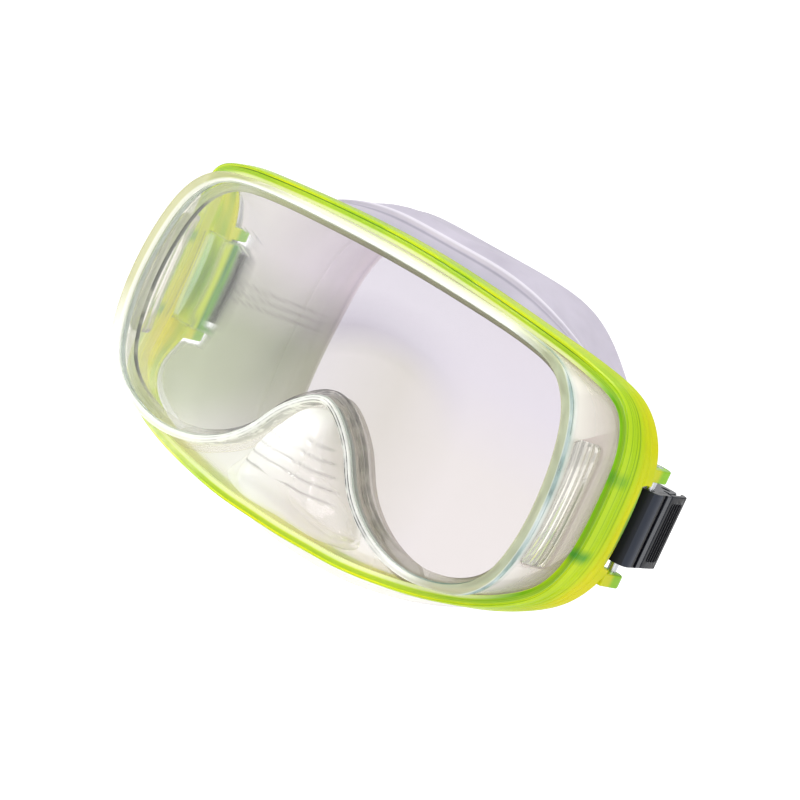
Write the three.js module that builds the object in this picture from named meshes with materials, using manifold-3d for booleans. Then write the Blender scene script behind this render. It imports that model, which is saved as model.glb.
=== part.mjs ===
// Single-lens diving mask with side panes, clamp ring and two swivel strap buckles.
// Millimetres, +Z up. The front lens faces -Y, +X is the viewer's right when
// looking at the front. Origin: middle of the front lens's outer face.
import * as THREE from 'three';
import { mergeVertices } from 'three/addons/utils/BufferGeometryUtils.js';
import Module from 'manifold-3d';

const wasm = await Module();
wasm.setup();

// ---------------------------------------------------------------- dimensions
const LENS_THICK = 3.5;        // tempered front lens
const LENS_MARGIN = 3.6;       // lens edge beyond the clear sight line
const GASKET_Y = [3.75, 5.75]; // bonded bead behind the lens
const FRAME_LIP_Y = [-1.5, -0.3];
const FRAME_WALL = 2.0;
const RING_WALL = 1.8;
const CLEAR = 0.3;             // gap between neighbouring pieces
const SKIRT_WALL = 2.0;
const SUB = 3;                 // stations per control segment

// right side-window opening in the frame wall
const PANE = { y0: 4.6, y1: 16.8, z0: -21, z1: 18.5 };

// strap buckle: pivot position, swivel lean and height
const PIVOT = { x: 86, y: 43, z: -1.65 };
const LEAN = THREE.MathUtils.degToRad(10);
const BUCKLE_H = 23.3;
const LUG = { z0: 13.1 + 1.65, z1: 17.1 + 1.65, r: 3.7 }; // above the pivot's middle
const PIN_R = 1.4;
const LEVER = { a: 10.4, b: 1.1, pinR: 0.9 };
const ROLLER = { a: 14.6, b: -1.1, r: 2.2, trunnion: 1.2 };

// Control rows, top middle to bottom middle of the +X half:
// sight line W, ring outer line G, ring front plane yf, ring depth w, rear flare,
// rear lip length, mid-skirt point M, rear-rim point R
const ROWS = [
  { W: [0, 36.2],     G: [0, 45.0],      yf: 4.0,  w: 9.0,  fl: 0.0, rl: 3.8, M: [0, 29, 49.0],     R: [0, 48.5, 49.0] },
  { W: [27, 35.6],    G: [27, 44.0],     yf: 4.0,  w: 9.0,  fl: 0.0, rl: 3.8, M: [24, 30.5, 49.6],  R: [20.5, 50, 48.9] },
  { W: [54, 33.9],    G: [54, 41.8],     yf: 4.4,  w: 9.0,  fl: 0.0, rl: 3.8, M: [42, 35, 42.2],    R: [38, 54.5, 46.4] },
  { W: [65.5, 31.0],  G: [70, 40.2],     yf: 8.0,  w: 10.0,  fl: 0.4, rl: 4.4, M: [54.5, 42, 32.0],    R: [50.5, 60.5, 34.4] },
  { W: [72.6, 23.6],  G: [83.3, 33.6],   yf: 15.0, w: 11.0, fl: 1.2, rl: 6.0, M: [65.5, 48, 22.5],    R: [59.3, 66.4, 21.2] },
  { W: [76.3, 11],    G: [87.8, 20.5],   yf: 20.5, w: 15.0, fl: 2.2, rl: 8.4, M: [71.5, 52, 11.0],  R: [63.5, 70.5, 8.0] },
  { W: [77.5, -3.5],  G: [88.2, 2],      yf: 22.2, w: 16.0, fl: 2.4, rl: 9.2, M: [73.0, 53, -3.0],  R: [65.5, 72, -4.0] },
  { W: [76.3, -16.5], G: [87.8, -15.5],  yf: 21.0, w: 16.0, fl: 2.2, rl: 8.6, M: [72.0, 52, -16],   R: [65, 71, -16.0] },
  { W: [72.3, -27.3], G: [84.8, -28.6],  yf: 16.0, w: 13.5, fl: 1.2, rl: 6.0, M: [67, 46, -30],     R: [61, 67, -29.5] },
  { W: [63.5, -33.6], G: [74.4, -37.6],  yf: 9.0,  w: 10.5, fl: 0.4, rl: 4.4, M: [57, 38, -41.5],   R: [53, 60, -41.5] },
  { W: [50.2, -36.2], G: [57.5, -44.0],  yf: 5.0,  w: 9.0,  fl: 0.0, rl: 3.8, M: [44, 30, -48.6],   R: [42, 52, -49.5] },
  { W: [36.5, -33.6], G: [40, -47.8],    yf: 4.0,  w: 9.0,  fl: 0.0, rl: 3.8, M: [31, 26, -53.0],   R: [30, 45, -54.6] },
  { W: [24.2, -25.6], G: [24.5, -50.0],  yf: 4.0,  w: 9.0,  fl: 0.0, rl: 3.8, M: [20, 24, -55.2],   R: [18, 40.5, -57.2] },
  { W: [15.6, -13.2], G: [11.5, -50.5],  yf: 4.0,  w: 9.0,  fl: 0.0, rl: 3.8, M: [9.5, 23.2, -56],  R: [8, 38, -58] },
  { W: [0, -3.4],     G: [0, -50.8],     yf: 4.0,  w: 9.0,  fl: 0.0, rl: 3.8, M: [0, 23, -56.2],    R: [0, 37.2, -58.2] },
];
const NOSE_FROM = 10.6; // from this row on, the frame follows the nose arch

// ------------------------------------------------------------------- helpers
function closedSamples(get) {
  const half = ROWS.map(get);
  const pts = half.map((p) => new THREE.Vector3(...p));
  for (let i = half.length - 2; i > 0; i--) pts.push(new THREE.Vector3(-half[i][0], half[i][1], half[i][2]));
  const c = new THREE.CatmullRomCurve3(pts, true, 'centripetal');
  const n = pts.length * SUB;
  const out = [];
  for (let i = 0; i < n; i++) out.push(c.getPoint(i / n));
  return out;
}
function scalarSamples(get) {
  return closedSamples((r) => [r.W[0] + 1, get(r), 0]).map((p) => p.y);
}
// outward normals of a closed line in the XZ plane (stations run clockwise seen from the front)
function normalsXZ(c) {
  const n = c.length;
  return c.map((p, i) => {
    const a = c[(i + n - 1) % n], b = c[(i + 1) % n];
    const t = new THREE.Vector2(b.x - a.x, b.z - a.z).normalize();
    return new THREE.Vector2(-t.y, t.x);
  });
}
function offsetXZ(c, nn, d) {
  return c.map((p, i) => [p.x + nn[i].x * d, p.z + nn[i].y * d]);
}
function clean(geo) {
  geo.deleteAttribute('normal');
  geo.deleteAttribute('uv');
  return mergeVertices(geo, 1e-4);
}
// closed tube of sections: sections[i] = array of [x, y, z]
function loopSolid(sections, closed = true) {
  const n = sections.length, m = sections[0].length;
  const pos = [];
  sections.forEach((s) => s.forEach((p) => pos.push(...p)));
  const idx = [];
  const count = closed ? n : n - 1;
  for (let i = 0; i < count; i++) {
    const j = (i + 1) % n;
    for (let k = 0; k < m; k++) {
      const l = (k + 1) % m;
      idx.push(i * m + k, j * m + k, j * m + l, i * m + k, j * m + l, i * m + l);
    }
  }
  if (!closed) {
    for (const [row, last] of [[0, false], [n - 1, true]]) {
      const c = new THREE.Vector3();
      for (let k = 0; k < m; k++) c.add(new THREE.Vector3(...sections[row][k]));
      c.divideScalar(m);
      const ci = pos.length / 3;
      pos.push(c.x, c.y, c.z);
      for (let k = 0; k < m; k++) {
        const l = (k + 1) % m;
        if (last) idx.push(row * m + l, row * m + k, ci);
        else idx.push(row * m + k, row * m + l, ci);
      }
    }
  }
  const g = new THREE.BufferGeometry();
  g.setAttribute('position', new THREE.Float32BufferAttribute(pos, 3));
  g.setIndex(idx);
  return outward(g);
}
function volume(g) {
  const p = g.attributes.position, ix = g.index;
  let v = 0;
  const a = new THREE.Vector3(), b = new THREE.Vector3(), c = new THREE.Vector3();
  for (let i = 0; i < ix.count; i += 3) {
    a.fromBufferAttribute(p, ix.getX(i)); b.fromBufferAttribute(p, ix.getX(i + 1)); c.fromBufferAttribute(p, ix.getX(i + 2));
    v += a.dot(b.clone().cross(c)) / 6;
  }
  return v;
}
function flip(g) {
  const ix = g.index.array;
  for (let i = 0; i < ix.length; i += 3) { const t = ix[i]; ix[i] = ix[i + 2]; ix[i + 2] = t; }
  return g;
}
function outward(g) { return volume(g) < 0 ? flip(g) : g; }
function solid(g) {
  const c = clean(g.clone());
  return new wasm.Manifold(new wasm.Mesh({
    numProp: 3,
    vertProperties: new Float32Array(c.attributes.position.array),
    triVerts: new Uint32Array(c.index.array),
  }));
}
function geometryOf(m) {
  const r = m.getMesh();
  const g = new THREE.BufferGeometry();
  g.setAttribute('position', new THREE.Float32BufferAttribute(Float32Array.from(r.vertProperties), 3));
  g.setIndex(Array.from(r.triVerts));
  return g;
}
function box(x0, x1, y0, y1, z0, z1) {
  return new THREE.BoxGeometry(x1 - x0, y1 - y0, z1 - z0).translate((x0 + x1) / 2, (y0 + y1) / 2, (z0 + z1) / 2);
}
function rod(x, y, z0, z1, r, seg = 20) {
  return new THREE.CylinderGeometry(r, r, z1 - z0, seg).rotateX(Math.PI / 2).translate(x, y, (z0 + z1) / 2);
}
function mirrorX(g) {
  const c = g.index ? g.clone() : clean(g.clone());
  c.scale(-1, 1, 1);
  return flip(c);
}
function plate(points, y0, y1) {
  // points: [x, z] outline; a plate between y0 and y1
  const s = new THREE.Shape(points.map((p) => new THREE.Vector2(p[0], p[1])));
  const g = new THREE.ExtrudeGeometry(s, { depth: y1 - y0, bevelEnabled: false, steps: 1 });
  g.rotateX(Math.PI / 2); // (x, y, z) -> (x, -z, y)
  g.translate(0, y1, 0);
  return outward(clean(g));
}

// -------------------------------------------------------------- shared lines
const W = closedSamples((r) => [r.W[0], 0, r.W[1]]);
const G = closedSamples((r) => [r.G[0], 0, r.G[1]]);
const YF = scalarSamples((r) => r.yf);
const RW = scalarSamples((r) => r.w);
const FL = scalarSamples((r) => r.fl);
const RL = scalarSamples((r) => r.rl);
const MID = closedSamples((r) => r.M);
const RIM = closedSamples((r) => r.R);
const nW = normalsXZ(W);
const nG = normalsXZ(G);
const nM = normalsXZ(MID);
const nR = normalsXZ(RIM);
const N = W.length;
const rowOf = (i) => { const k = i / SUB; return k <= ROWS.length - 1 ? k : 2 * (ROWS.length - 1) - k; };
const wOff = (i, d, y) => [W[i].x + nW[i].x * d, y, W[i].z + nW[i].y * d];
const gOff = (i, d, y) => [G[i].x + nG[i].x * d, y, G[i].z + nG[i].y * d];
const lerp3 = (a, b, t) => a.map((v, k) => v + (b[k] - v) * t);

const group = new THREE.Group();
function add(name, geo, color, roughness, metalness, extra = {}, parent = group) {
  const m = new THREE.Mesh(geo, new THREE.MeshStandardMaterial({ color, roughness, metalness, ...extra }));
  m.name = name;
  parent.add(m);
  return m;
}
const CLEARPC = [0xe9efe6, 0.08, 0.0, { transparent: true, opacity: 0.35 }];
const NEON = [0xc4de1c, 0.2, 0.0, { transparent: true, opacity: 0.85 }];
const SILICONE = [0xd2cfda, 0.35, 0.0, { transparent: true, opacity: 0.7 }];
const BLACK = [0x15171d, 0.3, 0.0, {}];
const STEEL = [0xb9bcc0, 0.25, 1.0, {}];

// ---------------------------------------------------------------- front lens
// flat pane with a ground bevel round its front edge, so the lip never covers the flat face
const bevelCut = solid(loopSolid(W.map((_, i) => [wOff(i, 1.733, -0.5), wOff(i, 4.4, -0.5), wOff(i, 4.4, 1.5)])));
add('front_lens', geometryOf(solid(plate(offsetXZ(W, nW, LENS_MARGIN), 0, LENS_THICK)).subtract(bevelCut)), 0xcfe6df, 0.03, 0.0, { transparent: true, opacity: 0.25 });
add('front_lens_gasket', loopSolid(W.map((_, i) => [
  wOff(i, 0.4, GASKET_Y[0]), wOff(i, 3.3, GASKET_Y[0]), wOff(i, 3.3, GASKET_Y[1]), wOff(i, 0.4, GASKET_Y[1]),
])), 0xc6c597, 0.4, 0.0, { transparent: true, opacity: 0.7 });

// ---------------------------------------------------------------- lens frame
// The flange line follows the clamp ring, except under the nose arch.
const flange = (i, d, dy) => {
  const arch = wOff(i, 6.8 + d, 6.1 + dy);
  const out = gOff(i, -(RING_WALL + CLEAR) + d, YF[i] + 2.1 + dy);
  const t = THREE.MathUtils.smoothstep(rowOf(i), NOSE_FROM - 0.6, NOSE_FROM + 0.6);
  return lerp3(out, arch, t);
};
const frameSections = W.map((_, i) => [
  wOff(i, 2.8, FRAME_LIP_Y[0] + 0.3),
  wOff(i, 3.4, FRAME_LIP_Y[0]),
  wOff(i, 4.6, FRAME_LIP_Y[0]),
  wOff(i, 4.9, FRAME_LIP_Y[0] + 0.7),
  wOff(i, 4.9, 2.6),
  flange(i, -1.8, -0.4),
  flange(i, 0, 0),
  flange(i, 0, 1.8),
  flange(i, -1.8 - FRAME_WALL, 1.8),
  wOff(i, 3.9, 6.0 - 0.9),
  wOff(i, 3.9, FRAME_LIP_Y[1]),
  wOff(i, 2.8, FRAME_LIP_Y[1]),
]);
const frameBlank = solid(loopSolid(frameSections));
const cutR = solid(box(78, 92, PANE.y0, PANE.y1, PANE.z0, PANE.z1));
const cutL = solid(box(-92, -78, PANE.y0, PANE.y1, PANE.z0, PANE.z1));
// room for the clamp ring's front lip round the frame's neck
const ringRoom = solid(loopSolid(G.map((_, i) => [
  gOff(i, -3.5 - CLEAR, YF[i] - 0.5), gOff(i, 4, YF[i] - 0.5), gOff(i, 4, YF[i] + RW[i]),
  gOff(i, -RING_WALL - CLEAR, YF[i] + RW[i]), gOff(i, -RING_WALL - CLEAR, YF[i] + RING_WALL + CLEAR),
  gOff(i, -3.5 - CLEAR, YF[i] + RING_WALL + CLEAR),
])));
const frameSolid = frameBlank.subtract(ringRoom).subtract(cutR).subtract(cutL);
add('lens_frame', geometryOf(frameSolid), ...CLEARPC);
const g2 = CLEAR;
const paneR = frameBlank.intersect(solid(box(78, 92, PANE.y0 + g2, PANE.y1 - g2, PANE.z0 + g2, PANE.z1 - g2)));
add('side_lens_right', geometryOf(paneR), 0xdfe9e4, 0.05, 0.0, { transparent: true, opacity: 0.25 });
add('side_lens_left', mirrorX(geometryOf(paneR)), 0xdfe9e4, 0.05, 0.0, { transparent: true, opacity: 0.25 });

// ---------------------------------------------------------------- clamp ring
const ringSections = G.map((_, i) => {
  const y = YF[i], w = RW[i], f = FL[i], r = RL[i];
  return [
    gOff(i, -3.5, y), gOff(i, -0.9, y - 0.2), gOff(i, 0, y + 0.7),
    gOff(i, f, y + w - 0.8), gOff(i, f - 0.8, y + w), gOff(i, f - r, y + w),
    gOff(i, f - r, y + w - RING_WALL), gOff(i, f - RING_WALL, y + w - RING_WALL),
    gOff(i, -RING_WALL, y + RING_WALL), gOff(i, -3.5, y + RING_WALL),
  ];
});
let ring = solid(loopSolid(ringSections));
for (const s of [1, -1]) {
  for (const [z0, z1, root] of [[LUG.z0, LUG.z1, 35.0], [-LUG.z1, -LUG.z0, 34.8]]) {
    const a = PIVOT.z + z0, b = PIVOT.z + z1;
    const x0 = PIVOT.x - LUG.r, x1 = PIVOT.x + LUG.r;
    ring = ring.add(solid(box(Math.min(s * x0, s * x1), Math.max(s * x0, s * x1), root, PIVOT.y, a, b)));
    ring = ring.add(solid(rod(s * PIVOT.x, PIVOT.y, a, b, LUG.r, 28)));
  }
}
for (const s of [1, -1]) {
  ring = ring.subtract(solid(rod(s * PIVOT.x, PIVOT.y, PIVOT.z - 22, PIVOT.z + 22, PIN_R + 0.15, 20)));
  // recess in the rear edge between the lugs, where the buckle's barrel turns
  const xa = s > 0 ? 87.2 : -96, xb = s > 0 ? 96 : -87.2;
  ring = ring.subtract(solid(box(xa, xb, 32.5, 44, PIVOT.z - 13.6, PIVOT.z + 13.6)));
}
add('clamp_ring', geometryOf(ring), ...NEON);

// --------------------------------------------------------------------- skirt
// Bead inside the clamp ring, neck behind it, bellied wall and inward face seal.
const skirtSections = G.map((_, i) => {
  const y = YF[i], w = RW[i], f = FL[i], r = RL[i];
  const m = MID[i], q = RIM[i], a = nM[i], b = nR[i];
  const mOff = (d, dy) => [m.x + a.x * d, m.y + dy, m.z + a.y * d];
  const rOff = (d, dy) => [q.x + b.x * d, q.y + dy, q.z + b.y * d];
  const bead = RING_WALL + CLEAR;
  return [
    gOff(i, -bead, y + 4.3), gOff(i, f - bead, y + w - bead), gOff(i, f - r - CLEAR, y + w - bead),
    gOff(i, f - r - CLEAR, y + w + 0.8), mOff(0, 0), rOff(0, -1.5), rOff(-0.6, 0),
    rOff(-3.6, 1.4), rOff(-7.4, 0.4), rOff(-7.6, -0.8), rOff(-4.2, -0.4), rOff(-2.2, -2.2),
    mOff(-SKIRT_WALL, 0), gOff(i, f - r - CLEAR - SKIRT_WALL, y + w + 0.4), gOff(i, -6.0 - 0.45 * (r - 3.8), y + 4.3),
  ];
});
let skirt = solid(loopSolid(skirtSections));
// nose pocket: lofted dome through the gap between the frame's arch and the ring
function domeSections(levels, k) {
  // levels: [y, top z, half widths at 1/4, 1/2, 3/4 of the height, bottom z, bottom half width]
  return levels.map(([y, zt, w1, w2, w3, zb, wb]) => {
    const h = zt - zb;
    const half = [[0, zt], [w1 * 0.62, zt - h * 0.045], [w1, zt - h * 0.2], [w2, zt - h * 0.45], [w3, zt - h * 0.72], [wb, zb + h * 0.1], [wb * 0.72, zb + h * 0.01], [0, zb]];
    const pts = half.map((p) => new THREE.Vector3(p[0], y, p[1]));
    for (let i = half.length - 2; i > 0; i--) pts.push(new THREE.Vector3(-half[i][0], y, half[i][1]));
    const c = new THREE.CatmullRomCurve3(pts, true, 'centripetal');
    return Array.from({ length: k }, (_, i) => { const p = c.getPoint(i / k); return [p.x, p.y, p.z]; });
  });
}
const OUTER = [
  [10.9, -9.2, 9.0, 17.0, 27.5, -46.6, 35.0],
  [8.3, -9.4, 8.9, 16.6, 26.5, -46.4, 33.0],
  [2.5, -9.8, 8.6, 15.4, 22.5, -45.0, 26.0],
  [-2.0, -12.5, 8.2, 13.6, 18.0, -43.6, 19.5],
  [-5.8, -18.5, 8.0, 11.8, 14.4, -41.8, 14.6],
  [-8.4, -26.0, 7.2, 9.6, 10.6, -39.2, 10.4],
  [-9.6, -30.5, 4.4, 5.6, 6.0, -36.8, 5.8],
];
const INNER = [
  [14.0, -11.2, 7.6, 15.4, 25.8, -44.6, 32.4],
  [8.3, -11.4, 7.3, 14.8, 24.4, -44.4, 30.6],
  [2.5, -12.0, 7.0, 13.4, 20.4, -43.0, 24.0],
  [-1.4, -15.0, 6.6, 11.6, 16.0, -41.4, 17.6],
  [-4.6, -21.0, 6.2, 9.6, 12.2, -39.6, 12.4],
  [-6.6, -27.4, 5.0, 7.2, 8.0, -37.4, 7.8],
  [-7.4, -31.0, 2.6, 3.4, 3.6, -35.4, 3.4],
];
const pocketOuter = solid(loopSolid(domeSections(OUTER, 32), false));
const pocketInner = solid(loopSolid(domeSections(INNER, 32), false));
// sealing web behind the frame's arch, joining the pocket to the skirt's bead
const webPts = [];
{
  const i0 = Math.round(10.2 * SUB), i1 = Math.round(2 * (ROWS.length - 1) * SUB - 10.2 * SUB);
  for (let i = i0; i <= i1; i++) { const p = wOff(i, 1.6, 0); webPts.push([p[0], p[2]]); }
  for (let i = i1; i >= i0; i--) { const p = gOff(i, -RING_WALL - CLEAR, 0); webPts.push([p[0], p[2]]); }
}
const web = solid(plate(webPts, 8.5, 10.6));
// room for the frame's arch, so that the soft pocket clears it
const frameRoom = solid(loopSolid(W.map((_, i) => [
  wOff(i, -3, -3), wOff(i, 5.1 + CLEAR, -3), wOff(i, 5.1 + CLEAR, 3.2),
  flange(i, -1.8 + CLEAR, -0.4), flange(i, CLEAR, -CLEAR), flange(i, CLEAR, 1.8 + CLEAR), wOff(i, -3, 8.2),
])));
const C = CLEAR;
const ringSpace = (C) => solid(loopSolid(G.map((_, i) => {
  const y = YF[i], w = RW[i], f = FL[i], r = RL[i];
  return [
    gOff(i, -3.5 - C, y - C), gOff(i, -0.9, y - 0.2 - C), gOff(i, 2, y + 0.7), gOff(i, f + 2, y + w - 0.8),
    gOff(i, f - 0.8, y + w + C), gOff(i, f - r - C, y + w + C), gOff(i, f - r - C, y + w - RING_WALL - C),
    gOff(i, f - RING_WALL - C, y + w - RING_WALL - C), gOff(i, -RING_WALL - C, y + RING_WALL + C), gOff(i, -3.5 - C, y + RING_WALL + C),
  ];
})));
skirt = skirt.subtract(ringSpace(0.12)).add(web.add(pocketOuter.subtract(frameRoom)).subtract(ringSpace(CLEAR))).subtract(pocketInner);
for (const s of [1, -1]) {
  for (const [z0, z1] of [[LUG.z0, LUG.z1], [-LUG.z1, -LUG.z0]]) {
    const x0 = PIVOT.x - LUG.r - C, x1 = PIVOT.x + LUG.r + C;
    skirt = skirt.subtract(solid(box(Math.min(s * x0, s * x1), Math.max(s * x0, s * x1), 34.4, PIVOT.y, PIVOT.z + z0 - C, PIVOT.z + z1 + C)));
  }
}
add('skirt', geometryOf(skirt), ...SILICONE);

// ------------------------------------------------------------------- buckles
// Local frame of a buckle: X outward, Y along the strap away from the pivot, Z up.
const H = BUCKLE_H / 2;
function buckleBody() {
  let b = solid(rod(0, 0, -H, H, 3.3, 28));
  b = b.add(solid(box(1.9, 4.3, -1.5, 8.45, -H, H)));            // outer plate
  b = b.add(solid(box(-3.3, 4.3, -3.2, 1.2, -H, H)).intersect(solid(rod(0, 0, -H, H, 4.3, 28))));
  b = b.add(solid(box(-6.0, -4.9, 2.0, 18.5, -H, H)));           // strap floor
  for (const s of [1, -1]) {
    const z0 = s > 0 ? H - 1.9 : -H, z1 = s > 0 ? H : -H + 1.9;
    b = b.add(solid(box(-5.6, 2.2, 0.5, 19.0, z0, z1)));          // cheeks
    b = b.add(solid(box(-5.6, -0.9, -2.4, 2.2, z0, z1)));
  }
  // the cheeks fall away under the lever's free end, leaving room for its press
  const relief = new THREE.Shape([[2.25, 12.6], [4, 12.6], [4, 20], [1.3, 20]].map((p) => new THREE.Vector2(...p)));
  b = b.subtract(solid(clean(new THREE.ExtrudeGeometry(relief, { depth: BUCKLE_H + 2, bevelEnabled: false }).translate(0, 0, -H - 1))));
  b = b.subtract(solid(rod(0, 0, -H - 1, H + 1, PIN_R + 0.35, 20)));
  b = b.subtract(solid(rod(LEVER.b, LEVER.a, -H - 1, H + 1, LEVER.pinR + 0.12, 16)));
  b = b.subtract(solid(rod(ROLLER.b, ROLLER.a, -H - 1, H + 1, ROLLER.trunnion + 0.3, 16)));
  return geometryOf(b);
}
function leverBody() {
  // ribbed pad with two ears on the lever pin
  let l = solid(box(2.7, 4.1, 9.0, 20.4, -H, H));
  l = l.add(solid(box(1.9, 4.1, 19.6, 21.4, -H, H)).intersect(solid(rod(1.9, 19.2, -H, H, 2.25, 28)).add(solid(box(1, 5, 15, 19.6, -H, H)))));
  for (let i = 0; i < 4; i++) l = l.add(solid(box(4.0, 4.75, 11.2 + i * 2.2, 12.1 + i * 2.2, -H + 2.2, H - 2.2)));
  for (const s of [1, -1]) {
    const z0 = s > 0 ? 7.4 : -9.2, z1 = s > 0 ? 9.2 : -7.4;
    l = l.add(solid(box(-0.5, 3.0, LEVER.a - 0.95, LEVER.a + 1.6, z0, z1)));
  }
  l = l.subtract(solid(rod(LEVER.b, LEVER.a, -H - 1, H + 1, LEVER.pinR + 0.3, 16)));
  return geometryOf(l);
}
function rollerBody() {
  // ribbed roller with integral trunnions, a closed lathe
  const z = H - 2.25, t = H - 0.5;
  const prof = [[0, -t], [ROLLER.trunnion, -t], [ROLLER.trunnion, -z], [ROLLER.r, -z]];
  for (let i = 0; i < 3; i++) {
    const w = (2 * z - 2.4) / 3, a = -z + 1.2 + i * w;
    prof.push([ROLLER.r, a], [ROLLER.r - 0.4, a + 0.2 * w], [ROLLER.r - 0.4, a + 0.6 * w], [ROLLER.r, a + 0.8 * w]);
  }
  prof.push([ROLLER.r, z], [ROLLER.trunnion, z], [ROLLER.trunnion, t], [0, t]);
  const g = new THREE.LatheGeometry(prof.map((p) => new THREE.Vector2(p[0], p[1])), 12);
  g.rotateX(Math.PI / 2);
  g.translate(ROLLER.b, ROLLER.a, 0);
  return outward(clean(g));
}
function springBody() {
  // torsion spring round the lever pin
  const pts = [];
  const r = 1.38, turns = 3, n = turns * 10;
  pts.push(new THREE.Vector3(LEVER.b + 0.9, LEVER.a + 3.4, -2.2));
  pts.push(new THREE.Vector3(LEVER.b + 1.22, LEVER.a + 1.4, -2.1));
  for (let i = 0; i <= n; i++) {
    const a = 0.1 - (i / 10) * 2 * Math.PI;
    pts.push(new THREE.Vector3(LEVER.b + r * Math.cos(a), LEVER.a + r * Math.sin(a), -1.9 + 3.8 * i / n));
  }
  const c = new THREE.CatmullRomCurve3(pts, false, 'centripetal');
  const s = new THREE.Shape();
  for (let k = 0; k < 6; k++) {
    const a = k * Math.PI / 3;
    if (k === 0) s.moveTo(0.26 * Math.cos(a), 0.26 * Math.sin(a)); else s.lineTo(0.26 * Math.cos(a), 0.26 * Math.sin(a));
  }
  const g = new THREE.ExtrudeGeometry(s, { steps: 36, extrudePath: c, bevelEnabled: false });
  return outward(clean(g));
}
const pieces = [
  ['pivot_pin', clean(rod(0, 0, -18.9, 18.9, PIN_R, 20)), STEEL],
  ['buckle_body', buckleBody(), BLACK],
  ['release_lever', leverBody(), BLACK],
  ['lever_pin', clean(rod(LEVER.b, LEVER.a, -H + 0.4, H - 0.4, LEVER.pinR, 16)), STEEL],
  ['lever_spring', springBody(), STEEL],
  ['strap_roller', rollerBody(), BLACK],
];
for (const [side, s] of [['right', 1], ['left', -1]]) {
  const holder = new THREE.Group();
  holder.position.set(s * PIVOT.x, PIVOT.y, PIVOT.z);
  holder.rotation.z = s * LEAN;
  for (const [name, geo, mat] of pieces) add(`${name}_${side}`, s > 0 ? geo : mirrorX(geo), ...mat, holder);
  group.add(holder);
}

export default group;
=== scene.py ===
import math
import bpy
import bmesh
import numpy as np
from mathutils import Vector, Matrix, kdtree


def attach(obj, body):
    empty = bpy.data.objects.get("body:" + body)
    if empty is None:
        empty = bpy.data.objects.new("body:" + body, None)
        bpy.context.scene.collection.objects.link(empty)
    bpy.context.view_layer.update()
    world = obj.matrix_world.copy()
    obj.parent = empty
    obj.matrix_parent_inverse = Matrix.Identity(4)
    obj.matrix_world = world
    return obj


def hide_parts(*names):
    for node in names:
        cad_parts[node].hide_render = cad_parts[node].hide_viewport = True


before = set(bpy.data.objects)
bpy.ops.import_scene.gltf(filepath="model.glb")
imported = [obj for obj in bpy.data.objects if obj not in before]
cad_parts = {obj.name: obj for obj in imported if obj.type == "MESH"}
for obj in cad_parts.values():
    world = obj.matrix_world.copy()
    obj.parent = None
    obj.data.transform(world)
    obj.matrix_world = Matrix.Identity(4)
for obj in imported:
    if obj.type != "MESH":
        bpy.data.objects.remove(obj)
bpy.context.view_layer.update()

# ------------------------------------------------------------------ dimensions
# millimetres, the same driving numbers as the CAD part
LENS_THICK, LENS_MARGIN = 3.5, 3.6
RING_WALL, CLEAR, SKIRT_WALL, FRAME_WALL = 1.8, 0.3, 2.0, 2.0
PIVOT = (86.0, 43.0, -1.65)
LEAN = math.radians(10)
H = 23.3 / 2
PIN_R = 1.4
LEV = dict(a=10.4, b=1.1, r=0.9)
ROL = dict(a=14.6, b=-1.1, r=2.2, t=1.2)
PANE = (4.6, 16.8, -21.0, 18.5)
SUB = 20

ROWS = [
    # W(x,z)        G(x,z)          yf    w     fl   rl   M                  R
    ((0, 36.2),     (0, 45.0),      4.0,  9.0,  0.0, 3.8, (0, 29, 49.0),     (0, 48.5, 49.0)),
    ((27, 35.6),    (27, 44.0),     4.0,  9.0,  0.0, 3.8, (24, 30.5, 49.6),  (20.5, 50, 48.9)),
    ((54, 33.9),    (54, 41.8),     4.4,  9.0,  0.0, 3.8, (42, 35, 42.2),    (38, 54.5, 46.4)),
    ((65.5, 31.0),  (69.7, 39.2),   8.0,  10.0, 0.4, 4.4, (54.5, 42, 32.0),    (50.5, 60.5, 34.4)),
    ((72.6, 23.6),  (83.3, 33.6),   15.0, 11.0, 1.2, 6.0, (65.5, 48, 22.5),    (59.3, 66.4, 21.2)),
    ((76.3, 11),    (87.8, 20.5),   20.5, 15.0, 2.2, 8.4, (71.5, 52, 11.0),  (63.5, 70.5, 8.0)),
    ((77.5, -3.5),  (88.2, 2),      22.2, 16.0, 2.4, 9.2, (73.0, 53, -3.0),  (65.5, 72, -4.0)),
    ((76.3, -16.5), (87.8, -15.5),  21.0, 16.0, 2.2, 8.6, (72.0, 52, -16),   (65, 71, -16.0)),
    ((72.3, -27.3), (84.8, -28.6),  16.0, 13.5, 1.2, 6.0, (67, 46, -30),     (61, 67, -29.5)),
    ((63.5, -33.6), (74.4, -37.6),  9.0,  10.5, 0.4, 4.4, (57, 38, -41.5),   (53, 60, -41.5)),
    ((50.2, -36.2), (57.5, -44.0),  5.0,  9.0,  0.0, 3.8, (44, 30, -48.6),   (42, 52, -49.5)),
    ((36.5, -33.6), (40, -47.8),    4.0,  9.0,  0.0, 3.8, (31, 26, -53.0),   (30, 45, -54.6)),
    ((24.2, -25.6), (24.5, -50.0),  4.0,  9.0,  0.0, 3.8, (20, 24, -55.2),   (18, 40.5, -57.2)),
    ((15.6, -13.2), (11.5, -50.5),  4.0,  9.0,  0.0, 3.8, (9.5, 23.2, -56),  (8, 38, -58)),
    ((0, -3.4),     (0, -50.8),     4.0,  9.0,  0.0, 3.8, (0, 23, -56.2),    (0, 37.2, -58.2)),
]
NR = len(ROWS)


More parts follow.
